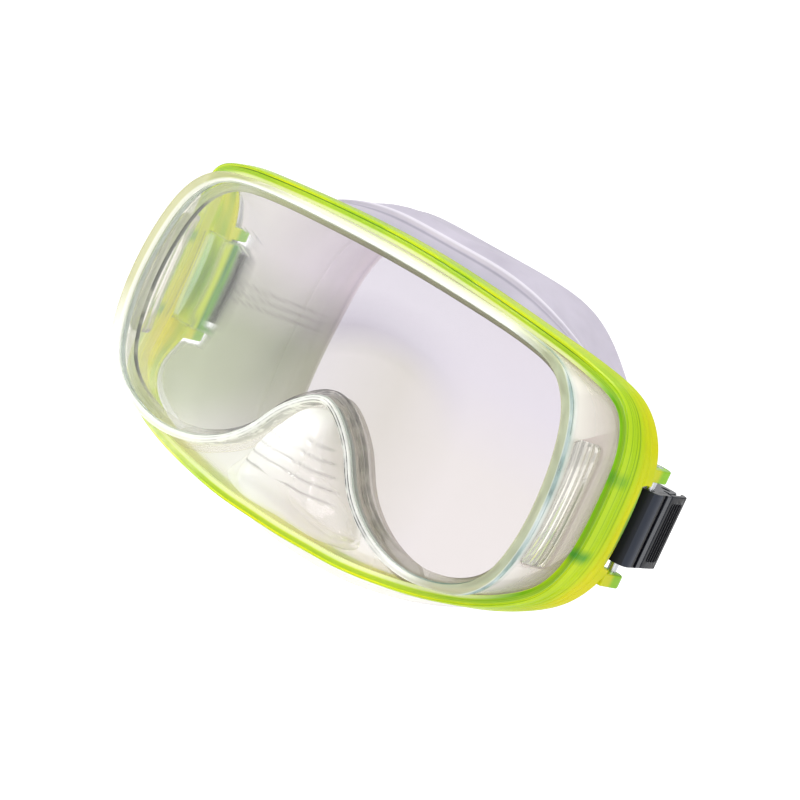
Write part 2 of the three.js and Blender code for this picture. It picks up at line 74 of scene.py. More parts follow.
# --------------------------------------------------------------- curve helpers
def cr_closed(pts, per):
    """Centripetal Catmull-Rom through closed control points, on the second to last axis."""
    P = np.asarray(pts, float)
    n = P.shape[-2]
    out = []
    idx = np.arange(n)
    p0, p1, p2, p3 = (np.take(P, (idx + k) % n, axis=-2) for k in (-1, 0, 1, 2))
    d = lambda a, b: np.maximum(np.sum((a - b) ** 2, -1, keepdims=True) ** 0.25, 1e-4)
    d0, d1, d2 = d(p0, p1), d(p1, p2), d(p2, p3)
    t1 = ((p1 - p0) / d0 - (p2 - p0) / (d0 + d1) + (p2 - p1) / d1) * d1
    t2 = ((p2 - p1) / d1 - (p3 - p1) / (d1 + d2) + (p3 - p2) / d2) * d1
    c2 = -3 * p1 + 3 * p2 - 2 * t1 - t2
    c3 = 2 * p1 - 2 * p2 + t1 + t2
    for k in range(per):
        t = k / per
        out.append(p1 + t1 * t + c2 * t * t + c3 * t ** 3)
    S = np.stack(out, axis=-2)  # (..., n, per, 3)
    return S.reshape(P.shape[:-2] + (n * per, P.shape[-1]))


def smooth_loop(c, sigma):
    """Circular Gaussian smoothing along the first axis."""
    n = c.shape[0]
    k = np.arange(-4 * int(sigma + 1), 4 * int(sigma + 1) + 1)
    w = np.exp(-0.5 * (k / sigma) ** 2)
    w /= w.sum()
    out = np.zeros_like(c)
    for kk, ww in zip(k, w):
        out += ww * np.roll(c, kk, axis=0)
    return out


def closed(get):
    half = [np.array(get(r), float) for r in ROWS]
    pts = half + [p * np.array([-1, 1, 1]) for p in half[-2:0:-1]]
    return cr_closed(np.array(pts), SUB)


def scal(get):
    return closed(lambda r: (r[0][0] + 1, get(r), 0))[:, 1]


W = smooth_loop(closed(lambda r: (r[0][0], 0, r[0][1])), 5.0)
G = smooth_loop(closed(lambda r: (r[1][0], 0, r[1][1])), 5.0)
YF, RWD, FL, RL = (smooth_loop(scal(lambda r, k=k: r[k]), 6.5) for k in (2, 3, 4, 5))
MID = smooth_loop(closed(lambda r: r[6]), 8.5)
RIM = smooth_loop(closed(lambda r: r[7]), 8.5)
N = len(W)
ROWI = np.minimum(np.arange(N) / SUB, 2 * (NR - 1) - np.arange(N) / SUB)


def normals(c):
    t = np.roll(c, -1, 0) - np.roll(c, 1, 0)
    t /= np.linalg.norm(t[:, [0, 2]], axis=1)[:, None]
    nn = np.stack([-t[:, 2], np.zeros(len(c)), t[:, 0]], 1)
    return nn


nW, nG, nM, nR = (normals(c) for c in (W, G, MID, RIM))


def off(c, nn, d, y):
    p = c + nn * np.broadcast_to(np.asarray(d, float), (N,))[:, None]
    p = p.copy()
    p[:, 1] = y
    return p


wO = lambda d, y: off(W, nW, d, y)
gO = lambda d, y: off(G, nG, d, y)


def mO(d, dy):
    p = MID + nM * np.asarray(d, float)
    p = p.copy()
    p[:, 1] = MID[:, 1] + dy
    return p


def rO(d, dy):
    p = RIM + nR * np.asarray(d, float)
    p = p.copy()
    p[:, 1] = RIM[:, 1] + dy
    return p


def sstep(x, a, b):
    t = np.clip((x - a) / (b - a), 0, 1)
    return t * t * (3 - 2 * t)


def fillet(corners, radii, seg=4):
    """Rounds the corners of each closed section. corners: (N, K, 3)."""
    C = np.stack(corners, 1) if isinstance(corners, list) else corners
    K = C.shape[1]
    out = []
    for k in range(K):
        P, A, B = C[:, k], C[:, k - 1], C[:, (k + 1) % K]
        r = radii[k]
        if r <= 0:
            out.append(P)
            continue
        da, db = A - P, B - P
        la, lb = (np.linalg.norm(v, axis=1)[:, None] for v in (da, db))
        a = P + da / la * np.minimum(r, 0.46 * la)
        b = P + db / lb * np.minimum(r, 0.46 * lb)
        for j in range(seg + 1):
            t = j / seg
            out.append((1 - t) ** 2 * a + 2 * t * (1 - t) * P + t * t * b)
    return np.stack(out, 1)


# ---------------------------------------------------------------- mesh helpers
COLL = bpy.context.scene.collection


def new_object(name, verts, faces, smooth=True):
    me = bpy.data.meshes.new(name)
    me.from_pydata([tuple(v) for v in np.asarray(verts) * 0.001], [], faces)
    me.update()
    ob = bpy.data.objects.new(name, me)
    COLL.objects.link(ob)
    fix_normals(ob)
    if smooth:
        me.polygons.foreach_set("use_smooth", [True] * len(me.polygons))
    return ob


def fix_normals(ob):
    bm = bmesh.new()
    bm.from_mesh(ob.data)
    bmesh.ops.recalc_face_normals(bm, faces=bm.faces)
    if bm.calc_volume(signed=True) < 0:
        bmesh.ops.reverse_faces(bm, faces=bm.faces)
    bm.to_mesh(ob.data)
    bm.free()
    ob.data.update()


def loop_faces(n, m, base=0, closed_n=True):
    i = np.arange(n if closed_n else n - 1)
    k = np.arange(m)
    I, K = np.meshgrid(i, k, indexing="ij")
    J, L = (I + 1) % n, (K + 1) % m
    f = np.stack([I * m + K, J * m + K, J * m + L, I * m + L], -1).reshape(-1, 4) + base
    return f.tolist()


def loop_object(name, S):
    n, m = S.shape[:2]
    return new_object(name, S.reshape(-1, 3), loop_faces(n, m))


def loft_object(name, S, cap="fan"):
    """Open loft with closed ends. S: (n, m, 3)."""
    n, m = S.shape[:2]
    v = S.reshape(-1, 3)
    f = loop_faces(n, m, 0, False)
    if cap == "fan":
        v = np.vstack([v, S[0].mean(0), S[-1].mean(0)])
        a, b = n * m, n * m + 1
        for k in range(m):
            l = (k + 1) % m
            f.append([l, k, a])
            f.append([(n - 1) * m + k, (n - 1) * m + l, b])
    else:
        f.append(list(range(m))[::-1])
        f.append(list(range((n - 1) * m, n * m)))
    return new_object(name, v, f)


def prism(name, poly, z0, z1, bevel=0.0, axis="z", seg=2, sharp_only=True):
    """A polygon (u, v) extruded along an axis, edges bevelled. axis z: (x, y) polygon; axis x: (y, z) polygon."""
    bm = bmesh.new()
    if axis == "z":
        lo = [bm.verts.new((u, v, z0)) for u, v in poly]
        hi = [bm.verts.new((u, v, z1)) for u, v in poly]
    else:
        lo = [bm.verts.new((z0, u, v)) for u, v in poly]
        hi = [bm.verts.new((z1, u, v)) for u, v in poly]
    n = len(poly)
    bm.faces.new(lo[::-1])
    bm.faces.new(hi)
    for i in range(n):
        j = (i + 1) % n
        bm.faces.new([lo[i], lo[j], hi[j], hi[i]])
    bmesh.ops.recalc_face_normals(bm, faces=bm.faces)
    if bevel > 0:
        edges = [e for e in bm.edges if len(e.link_faces) == 2 and e.calc_face_angle(0) > math.radians(38)]
        bmesh.ops.bevel(bm, geom=edges, offset=bevel, segments=seg, profile=0.5, affect="EDGES", clamp_overlap=True)
    bmesh.ops.scale(bm, vec=(0.001,) * 3, verts=bm.verts)
    if bm.calc_volume(signed=True) < 0:
        bmesh.ops.reverse_faces(bm, faces=bm.faces)
    me = bpy.data.meshes.new(name)
    bm.to_mesh(me)
    bm.free()
    ob = bpy.data.objects.new(name, me)
    COLL.objects.link(ob)
    me.polygons.foreach_set("use_smooth", [True] * len(me.polygons))
    return ob


def lathe_z(name, prof, seg=40, centre=(0, 0, 0)):
    """Profile (r, z) from axis to axis, turned about Z."""
    pts = []
    faces = []
    ring = [p for p in prof if p[0] > 1e-6]
    m = len(ring)
    for s in range(seg):
        a = 2 * math.pi * s / seg
        for r, z in ring:
            pts.append((centre[0] + r * math.cos(a), centre[1] + r * math.sin(a), centre[2] + z))
    for s in range(seg):
        t = (s + 1) % seg
        for k in range(m - 1):
            faces.append([s * m + k, t * m + k, t * m + k + 1, s * m + k + 1])
    faces.append([s * m for s in range(seg)][::-1])
    faces.append([s * m + m - 1 for s in range(seg)])
    return new_object(name, np.array(pts), faces)


def apply_mods(ob):
    dg = bpy.context.evaluated_depsgraph_get()
    ev = ob.evaluated_get(dg)
    me = bpy.data.meshes.new_from_object(ev, preserve_all_data_layers=True, depsgraph=dg)
    old = ob.data
    ob.modifiers.clear()
    ob.data = me
    me.name = ob.name
    if old.users == 0:
        bpy.data.meshes.remove(old)
    return ob


def boolean(ob, tool, op, keep=False):
    before = len(ob.data.vertices)
    m = ob.modifiers.new("b", "BOOLEAN")
    m.operation = op
    m.object = tool
    m.solver = "MANIFOLD"
    apply_mods(ob)
    if len(ob.data.vertices) == 0:
        raise RuntimeError("boolean emptied " + ob.name + " from %d" % before)
    if not keep:
        me = tool.data
        bpy.data.objects.remove(tool)
        if me.users == 0:
            bpy.data.meshes.remove(me)
    return ob


def finish_mesh(ob, angle=36, weld=True, wn=True):
    """Cleans a mesh, marks its sharp edges and weights its normals."""
    bm = bmesh.new()
    bm.from_mesh(ob.data)
    if weld:
        bmesh.ops.remove_doubles(bm, verts=bm.verts, dist=2e-6)
        bmesh.ops.dissolve_degenerate(bm, edges=bm.edges, dist=1e-7)
    for f in bm.faces:
        f.smooth = True
    for e in bm.edges:
        e.smooth = not (len(e.link_faces) == 2 and e.calc_face_angle(0) > math.radians(angle))
    bm.to_mesh(ob.data)
    bm.free()
    ob.data.update()
    if wn:
        m = ob.modifiers.new("wn", "WEIGHTED_NORMAL")
        m.keep_sharp = True
        m.weight = 60
    return ob


def near(P, line, nrm):
    """Nearest station of a line (in XZ) for each point, with the signed offset from it."""
    idx = np.empty(len(P), int)
    L = line[:, [0, 2]]
    for a in range(0, len(P), 4000):
        q = P[a:a + 4000][:, [0, 2]]
        idx[a:a + 4000] = ((q[:, None, :] - L[None]) ** 2).sum(-1).argmin(1)
    d = ((P - line[idx])[:, [0, 2]] * nrm[idx][:, [0, 2]]).sum(1)
    return idx, d


def attribute(ob, name, values):
    at = ob.data.attributes.new(name, "FLOAT", "POINT")
    at.data.foreach_set("value", np.asarray(values, np.float32))


def facing_in(ob, lo=-0.35, hi=0.05):
    """1 where the surface faces the mask's inside."""
    k = len(ob.data.vertices)
    nv = np.empty(k * 3)
    ob.data.vertices.foreach_get("normal", nv)
    nv = nv.reshape(-1, 3)
    P = verts_mm(ob)
    r = P[:, [0, 2]] / np.maximum(np.linalg.norm(P[:, [0, 2]], axis=1), 1e-6)[:, None]
    return 1 - sstep((nv[:, [0, 2]] * r).sum(1), lo, hi)


def verts_mm(ob):
    co = np.empty(len(ob.data.vertices) * 3, np.float32)
    ob.data.vertices.foreach_get("co", co)
    return co.reshape(-1, 3).astype(float) * 1000.0


def join(name, obs):
    """Joins closed shells into one piece."""
    me = bpy.data.meshes.new(name)
    bm = bmesh.new()
    for o in obs:
        tmp = o.data.copy()
        tmp.transform(o.matrix_world)
        bm.from_mesh(tmp)
        bpy.data.meshes.remove(tmp)
    bm.to_mesh(me)
    bm.free()
    for m in obs[0].data.materials:
        me.materials.append(m)
    out = bpy.data.objects.new(name, me)
    COLL.objects.link(out)
    for o in obs:
        md = o.data
        bpy.data.objects.remove(o)
        if md.users == 0:
            bpy.data.meshes.remove(md)
    return out


# ------------------------------------------------------------------- materials
def lin(r, g, b, a=1.0):
    f = lambda c: (c / 255 / 12.92) if c / 255 <= 0.04045 else ((c / 255 + 0.055) / 1.055) ** 2.4
    return (f(r), f(g), f(b), a)


class Mat:
    def __init__(self, name):
        self.m = bpy.data.materials.new(name)
        self.m.use_nodes = True
        self.t = self.m.node_tree
        self.t.nodes.clear()
        self.out = self.n("ShaderNodeOutputMaterial")
        self.co = self.n("ShaderNodeTexCoord")

    def n(self, kind, **kw):
        nd = self.t.nodes.new(kind)
        for k, v in kw.items():
            if k in nd.bl_rna.properties:
                setattr(nd, k, v)
            else:
                nd.inputs[k.replace("_", " ")].default_value = v
        return nd

    def l(self, a, b):
        self.t.links.new(a, b)
        return b

    def set(self, nd, key, v):
        s = nd.inputs[key]
        if hasattr(v, "is_linked") or isinstance(v, bpy.types.NodeSocket):
            self.l(v, s)
        else:
            s.default_value = v

    def noise(self, scale, detail=3, rough=0.55, stretch=None):
        nd = self.n("ShaderNodeTexNoise")
        nd.inputs["Scale"].default_value = scale
        nd.inputs["Detail"].default_value = detail
        nd.inputs["Roughness"].default_value = rough
        src = self.co.outputs["Object"]
        if stretch:
            mp = self.n("ShaderNodeMapping")
            mp.inputs["Scale"].default_value = stretch
            self.l(src, mp.inputs["Vector"])
            src = mp.outputs["Vector"]
        self.l(src, nd.inputs["Vector"])
        return nd.outputs["Fac"]

    def ramp(self, fac, stops):
        nd = self.n("ShaderNodeValToRGB")
        cr = nd.color_ramp
        while len(cr.elements) < len(stops):
            cr.elements.new(0.5)
        for e, (p, c) in zip(cr.elements, stops):
            e.position = p
            e.color = c if len(c) == 4 else (*c, 1)
        self.l(fac, nd.inputs["Fac"])
        return nd.outputs["Color"]

    def rng(self, fac, a, b, lo=0.0, hi=1.0):
        nd = self.n("ShaderNodeMapRange")
        nd.inputs["From Min"].default_value = lo
        nd.inputs["From Max"].default_value = hi
        self.set(nd, "To Min", a)
        self.set(nd, "To Max", b)
        self.l(fac, nd.inputs["Value"])
        return nd.outputs["Result"]

    def math(self, op, a, b=None, clamp=False):
        nd = self.n("ShaderNodeMath")
        nd.operation = op
        nd.use_clamp = clamp
        self.set(nd, 0, a)
        if b is not None:
            self.set(nd, 1, b)
        return nd.outputs[0]

    def mixc(self, fac, a, b, mode="MIX"):
        nd = self.n("ShaderNodeMix")
        nd.data_type = "RGBA"
        nd.blend_type = mode
        self.set(nd, 0, fac)
        self.set(nd, 6, a)
        self.set(nd, 7, b)
        return nd.outputs[2]

    def mixs(self, fac, a, b):
        nd = self.n("ShaderNodeMixShader")
        self.set(nd, 0, fac)
        self.l(a, nd.inputs[1])
        self.l(b, nd.inputs[2])
        return nd.outputs[0]

    def bump(self, h, strength=0.2, dist=0.0002):
        nd = self.n("ShaderNodeBump")
        nd.inputs["Strength"].default_value = strength
        nd.inputs["Distance"].default_value = dist
        self.l(h, nd.inputs["Height"])
        return nd.outputs["Normal"]

    def principled(self, color, rough, normal=None, metal=0.0, spec=0.5, **extra):
        nd = self.n("ShaderNodeBsdfPrincipled")
        self.set(nd, "Base Color", color)
        self.set(nd, "Roughness", rough)
        nd.inputs["Metallic"].default_value = metal
        nd.inputs["Specular IOR Level"].default_value = spec
        for k, v in extra.items():
            self.set(nd, k.replace("_", " "), v)
        if normal is not None:
            self.l(normal, nd.inputs["Normal"])
        return nd.outputs[0]

    def transparent(self, color):
        nd = self.n("ShaderNodeBsdfTransparent")
        self.set(nd, "Color", color)
        return nd.outputs[0]

    def glass(self, color, rough, ior, normal=None):
        nd = self.n("ShaderNodeBsdfGlass")
        self.set(nd, "Color", color)
        self.set(nd, "Roughness", rough)
        self.set(nd, "IOR", ior)
        if normal is not None:
            self.l(normal, nd.inputs["Normal"])
        return nd.outputs[0]

    def translucent(self, color, normal=None):
        nd = self.n("ShaderNodeBsdfTranslucent")
        self.set(nd, "Color", color)
        if normal is not None:
            self.l(normal, nd.inputs["Normal"])
        return nd.outputs[0]

    def glossy(self, color, rough, normal=None):
        nd = self.n("ShaderNodeBsdfAnisotropic")
        self.set(nd, "Color", color)
        self.set(nd, "Roughness", rough)
        if normal is not None:
            self.l(normal, nd.inputs["Normal"])
        return nd.outputs[0]

    def facing(self, blend=0.5, normal=None):
        nd = self.n("ShaderNodeLayerWeight")
        nd.inputs["Blend"].default_value = blend
        if normal is not None:
            self.l(normal, nd.inputs["Normal"])
        return nd.outputs["Facing"]

    def fresnel(self, ior=1.45):
        nd = self.n("ShaderNodeFresnel")
        nd.inputs["IOR"].default_value = ior
        return nd.outputs[0]

    def through(self, shader, tint):
        """Lets light through to what is inside: shadow and diffuse rays see a tinted film."""
        lp = self.n("ShaderNodeLightPath")
        f = self.math("MAXIMUM", lp.outputs["Is Shadow Ray"], lp.outputs["Is Diffuse Ray"])
        return self.mixs(f, shader, self.transparent(tint))

    def attr(self, name):
        nd = self.n("ShaderNodeAttribute")
        nd.attribute_name = name
        return nd.outputs["Fac"]

    def band(self, v, a, b, soft):
        """1 between a and b, fading over soft."""
        up = self.rng(v, 0, 1, a - soft, a + soft)
        dn = self.rng(v, 1, 0, b - soft, b + soft)
        return self.math("MULTIPLY", up, dn, True)

    def xyz(self):
        nd = self.n("ShaderNodeSeparateXYZ")
        self.l(self.co.outputs["Object"], nd.inputs[0])
        return nd.outputs

    def done(self, shader):
        self.l(shader, self.out.inputs["Surface"])
        return self.m


def m_lens():
    m = Mat("lens_glass")
    wobble = m.bump(m.noise(18, 2), 0.05, 0.0004)
    x, y, z = m.xyz()[:3]
    # painted shade of the mask's inside seen through the glass: lilac high up, warm low down, a painted soft shadow arc
    # between at the left
    ex = m.math("DIVIDE", m.math("SUBTRACT", x, 0.014), 0.042)
    ez = m.math("DIVIDE", m.math("ADD", z, 0.014), 0.033)
    e = m.math("SQRT", m.math("ADD", m.math("MULTIPLY", ex, ex), m.math("MULTIPLY", ez, ez)))
    e = m.math("ADD", e, m.math("MULTIPLY", m.math("SUBTRACT", m.noise(22, 3), 0.5), 0.10))
    rt = m.rng(x, 0, 1, 0.020, 0.050)
    warm = m.ramp(m.rng(x, 0, 1, -0.02, 0.06), [(0.0, (0.785, 0.765, 0.780)), (0.5, (0.750, 0.726, 0.705)), (0.85, (0.800, 0.772, 0.768))])
    lilac = m.mixc(rt, (0.785, 0.762, 0.800, 1), (0.785, 0.758, 0.795, 1))
    mixf = m.mixc(rt, m.ramp(e, [(0.78, (0, 0, 0)), (1.0, (1, 1, 1))]), m.ramp(m.rng(z, 0, 1, -0.004, 0.020), [(0.0, (0, 0, 0)), (1.0, (1, 1, 1))]))
    tint = m.mixc(mixf, warm, lilac)
    # painted soft shadow arc: the tint darkens along the edge of an ellipse
    arc = m.ramp(m.math("MULTIPLY", e, 0.5), [(0.36, (1, 1, 1)), (0.49, (0.86, 0.855, 0.865)), (0.53, (0.91, 0.905, 0.915)), (0.66, (1, 1, 1))])
    arc = m.mixc(m.math("MULTIPLY", m.rng(x, 1.0, 0.0, -0.004, 0.046), m.rng(z, 0, 1, -0.020, -0.004), True), (1, 1, 1, 1), arc)
    tint = m.mixc(1.0, tint, arc, "MULTIPLY")
    # no painted shade towards the far left, where the tint fades to near-white
    fade = m.rng(x, 0, 1, -0.048, -0.010)
    tint = m.mixc(fade, (0.965, 0.965, 0.965, 1), tint)
    film = m.transparent(tint)
    gl = m.glossy((1, 1, 1, 1), m.rng(m.noise(60, 4), 0.01, 0.035), wobble)
    f = m.math("MULTIPLY", m.fresnel(1.5), 0.8)
    return m.done(m.mixs(f, film, gl))


def m_lens_edge():
    m = Mat("lens_glass_edge")
    grind = m.noise(900, 3, stretch=(1, 6, 1))
    nrm = m.bump(grind, 0.25, 0.00012)
    x = m.xyz()[0]
    teal = m.rng(x, 0.0, 1, 0.040, 0.062)
    col = m.mixc(teal, lin(236, 238, 236), m.ramp(m.noise(70, 2), [(0.3, lin(92, 142, 138)), (0.7, lin(150, 182, 184))]))
    p = m.principled(col, m.rng(grind, 0.12, 0.3), nrm, Transmission_Weight=0.55, IOR=1.45)
    return m.done(m.through(m.mixs(0.3, p, m.transparent((0.75, 0.92, 0.88, 1))), (0.8, 0.93, 0.9, 1)))


def m_clear():
    m = Mat("clear_polycarbonate")
    flow = m.bump(m.noise(24, 3, stretch=(1, 1, 1.6)), 0.025, 0.0006)
    rough = m.rng(m.noise(140, 4), 0.01, 0.035)
    x, y, z = m.xyz()[:3]
    ax = m.math("ABSOLUTE", x)
    wall = m.attr("wall")
    out = m.attr("outer")
    d = m.attr("offset")
    # painted shade: the frame is painted darker towards the right-hand side
    painted_side_shade = m.rng(x, 0, 1, -0.02, 0.05)
    left = m.math("MULTIPLY", m.rng(x, 1, 0, -0.060, -0.036), m.rng(z, 0, 1, -0.026, -0.006), True)
    # painted glow: the ring's neon light painted as a pale yellow-green tint on the frame near the ring
    glow = m.mixc(m.math("MULTIPLY", out, 0.75), lin(251, 251, 248), lin(242, 247, 206))
    # painted refraction: the olive bead seen through the rim, painted khaki on the upper left
    glow = m.mixc(m.math("MULTIPLY", m.math("MULTIPLY", left, m.rng(d, 0, 1, 3.3, 3.9)), 0.9), glow, lin(198, 197, 152))
    # painted dark lines round the nose arch and along the lower rim, standing for the dark refractions at the stacked
    # edges
    arch = m.math("MULTIPLY", m.rng(ax, 1, 0, 0.030, 0.046), m.rng(z, 1, 0, -0.002, 0.010), True)
    arch = m.math("MULTIPLY", arch, m.rng(x, 0.45, 1.0, -0.012, 0.004), True)
    lines = m.band(d, 3.22, 3.46, 0.06)
    for c, hw in ((4.2, 0.16), (4.95, 0.18), (5.7, 0.13), (6.4, 0.13)):
        lines = m.math("MAXIMUM", lines, m.band(d, c - hw, c + hw, 0.06))
    lines = m.math("MULTIPLY", m.math("MULTIPLY", lines, arch), m.rng(m.noise(300, 2), 0.15, 1.0, 0.36, 0.54), True)
    glow = m.mixc(lines, glow, lin(16, 16, 18))
    # painted refraction: the rim's right-hand side is painted with the olive bead and the teal ground edge of the glass
    # seen through it, and with a painted dark line along its front
    rimr = m.rng(x, 0, 1, 0.048, 0.062)
    front = m.rng(y, 1, 0, -0.0006, 0.0000)
    glow = m.mixc(m.math("MULTIPLY", m.math("MULTIPLY", rimr, front), m.rng(d, 0.9, 0, 5.7, 6.1)), glow, lin(190, 190, 150))
    teal = m.math("MAXIMUM", m.math("SUBTRACT", 1.0, front), m.rng(d, 0, 1, 5.9, 6.2))
    teal = m.math("MULTIPLY", m.math("MULTIPLY", rimr, teal), m.rng(y, 0.95, 0.15, 0.0020, 0.0048), True)
    glow = m.mixc(teal, glow, m.ramp(m.noise(60, 3), [(0.35, lin(96, 116, 114)), (0.46, lin(158, 180, 180)), (0.62, lin(208, 218, 220))]))
    glow = m.mixc(m.math("MULTIPLY", m.math("MULTIPLY", rimr, m.band(y, -0.0004, 0.0000, 0.0002)), m.rng(m.noise(90, 2), 0, 0.8, 0.45, 0.55), True), glow, lin(30, 40, 40))
    base = m.mixc(wall, glow, m.mixc(painted_side_shade, lin(250, 248, 246), lin(222, 217, 212)))
    g = m.glass(base, rough, 1.28, flow)
    edge = m.facing(0.35, flow)
    vc = m.mixc(wall, glow, m.mixc(painted_side_shade, lin(240, 236, 234), lin(190, 184, 179)))
    # painted highlight: the wall round the nose arch painted near-white
    vc = m.mixc(m.math("MULTIPLY", m.math("MULTIPLY", arch, wall), 0.8), vc, lin(246, 246, 246))
    # painted glow: the veil emits its own colour, less on the right-hand wall
    veil = m.principled(vc, 0.10, flow, Emission_Color=vc, Emission_Strength=m.math("SUBTRACT", 0.22, m.math("MULTIPLY", m.math("MULTIPLY", wall, painted_side_shade), 0.2)))
    body = m.mixs(m.math("MAXIMUM", m.rng(edge, 0.50, 0.66), m.math("MULTIPLY", lines, 0.95)), m.mixs(0.4, g, m.transparent(base)), veil)
    clearf = m.transparent(m.mixc(wall, lin(251, 251, 247), m.mixc(painted_side_shade, lin(251, 249, 247), lin(227, 220, 216))))
    tr = m.math("MULTIPLY", m.rng(wall, 0.25, m.rng(x, 0.86, 0.52, -0.05, 0.05)), m.math("SUBTRACT", 1.0, lines))
    return m.done(m.through(m.mixs(tr, body, clearf), (0.94, 0.95, 0.91, 1)))


def m_pane():
    m = Mat("side_pane_clear")
    wob = m.bump(m.noise(30, 2), 0.05, 0.0004)
    film = m.transparent(lin(247, 245, 241))
    gl = m.glossy((1, 1, 1, 1), m.rng(m.noise(90, 3), 0.02, 0.06), wob)
    # painted glow: the pane's veil emits its own colour
    veil = m.principled(lin(232, 228, 216), 0.15, wob, Emission_Color=lin(232, 228, 216), Emission_Strength=0.2)
    s = m.mixs(m.rng(m.facing(0.4), 0.05, 0.5), film, veil)
    return m.done(m.mixs(m.math("MULTIPLY", m.fresnel(1.5), 0.9), s, gl))


def m_gasket():
    m = Mat("gasket_olive")
    x, y, z = m.xyz()[:3]
    ax = m.math("ABSOLUTE", x)
    n = m.noise(120, 4)
    nrm = m.bump(n, 0.15, 0.0002)
    olive = m.ramp(m.noise(40, 3), [(0.3, lin(186, 186, 134)), (0.7, lin(208, 206, 158))])
    # painted highlight: lighter along the bottom, round the nose arch and at the far left
    arch = m.math("MULTIPLY", m.rng(ax, 1, 0, 0.028, 0.046), m.rng(z, 1, 0, 0.002, 0.016), True)
    gasket_highlight = m.math("MAXIMUM", arch, m.math("MULTIPLY", m.rng(z, 1, 0, -0.036, -0.024), m.rng(ax, 1, 0.3, 0.05, 0.07)), True)
    gasket_highlight = m.math("MAXIMUM", gasket_highlight, m.math("MULTIPLY", m.rng(x, 1, 0, -0.070, -0.050), 0.8), True)
    col = m.mixc(m.math("MULTIPLY", gasket_highlight, 0.92), olive, lin(240, 240, 238))
    d = m.attr("offset")
    # painted shade: a thin dark line along the bead's inner edge at the temples, round the arch and along the top
    dark = m.math("MULTIPLY", m.rng(d, 1, 0, 0.52, 0.66), m.math("MAXIMUM", m.math("MAXIMUM", m.rng(ax, 0, 1, 0.058, 0.070), m.math("MULTIPLY", arch, 0.8)), m.rng(z, 0, 0.3, 0.026, 0.034)), True)
    dark = m.math("MULTIPLY", dark, m.rng(m.noise(110, 2), 0.55, 1, 0.40, 0.54), True)
    col = m.mixc(m.math("MULTIPLY", dark, 0.85), col, lin(34, 36, 32))
    # painted dark lines across the bead round the nose arch
    arch_dark_lines = m.band(d, 0.42, 0.60, 0.05)
    for c in (1.15, 1.75, 2.35):
        arch_dark_lines = m.math("MAXIMUM", arch_dark_lines, m.band(d, c - 0.11, c + 0.11, 0.06))
    arch_dark_lines = m.math("MULTIPLY", m.math("MULTIPLY", arch_dark_lines, arch), m.rng(m.noise(240, 2), 0.1, 1, 0.40, 0.56), True)
    col = m.mixc(arch_dark_lines, col, lin(30, 30, 34))
    # painted glow: the bead emits its own colour
    p = m.principled(col, m.rng(n, 0.25, 0.4), nrm, Emission_Color=col, Emission_Strength=0.12)
    t = m.translucent(col, nrm)
    s = m.mixs(0.45, p, t)
    clear = m.math("MULTIPLY", m.math("SUBTRACT", 1.0, m.math("MAXIMUM", dark, arch_dark_lines)), m.math("ADD", 0.2, m.math("MULTIPLY", gasket_highlight, 0.62)))
    return m.done(m.mixs(clear, s, m.transparent(m.mixc(gasket_highlight, (0.9, 0.9, 0.78, 1), (0.97, 0.965, 0.955, 1)))))


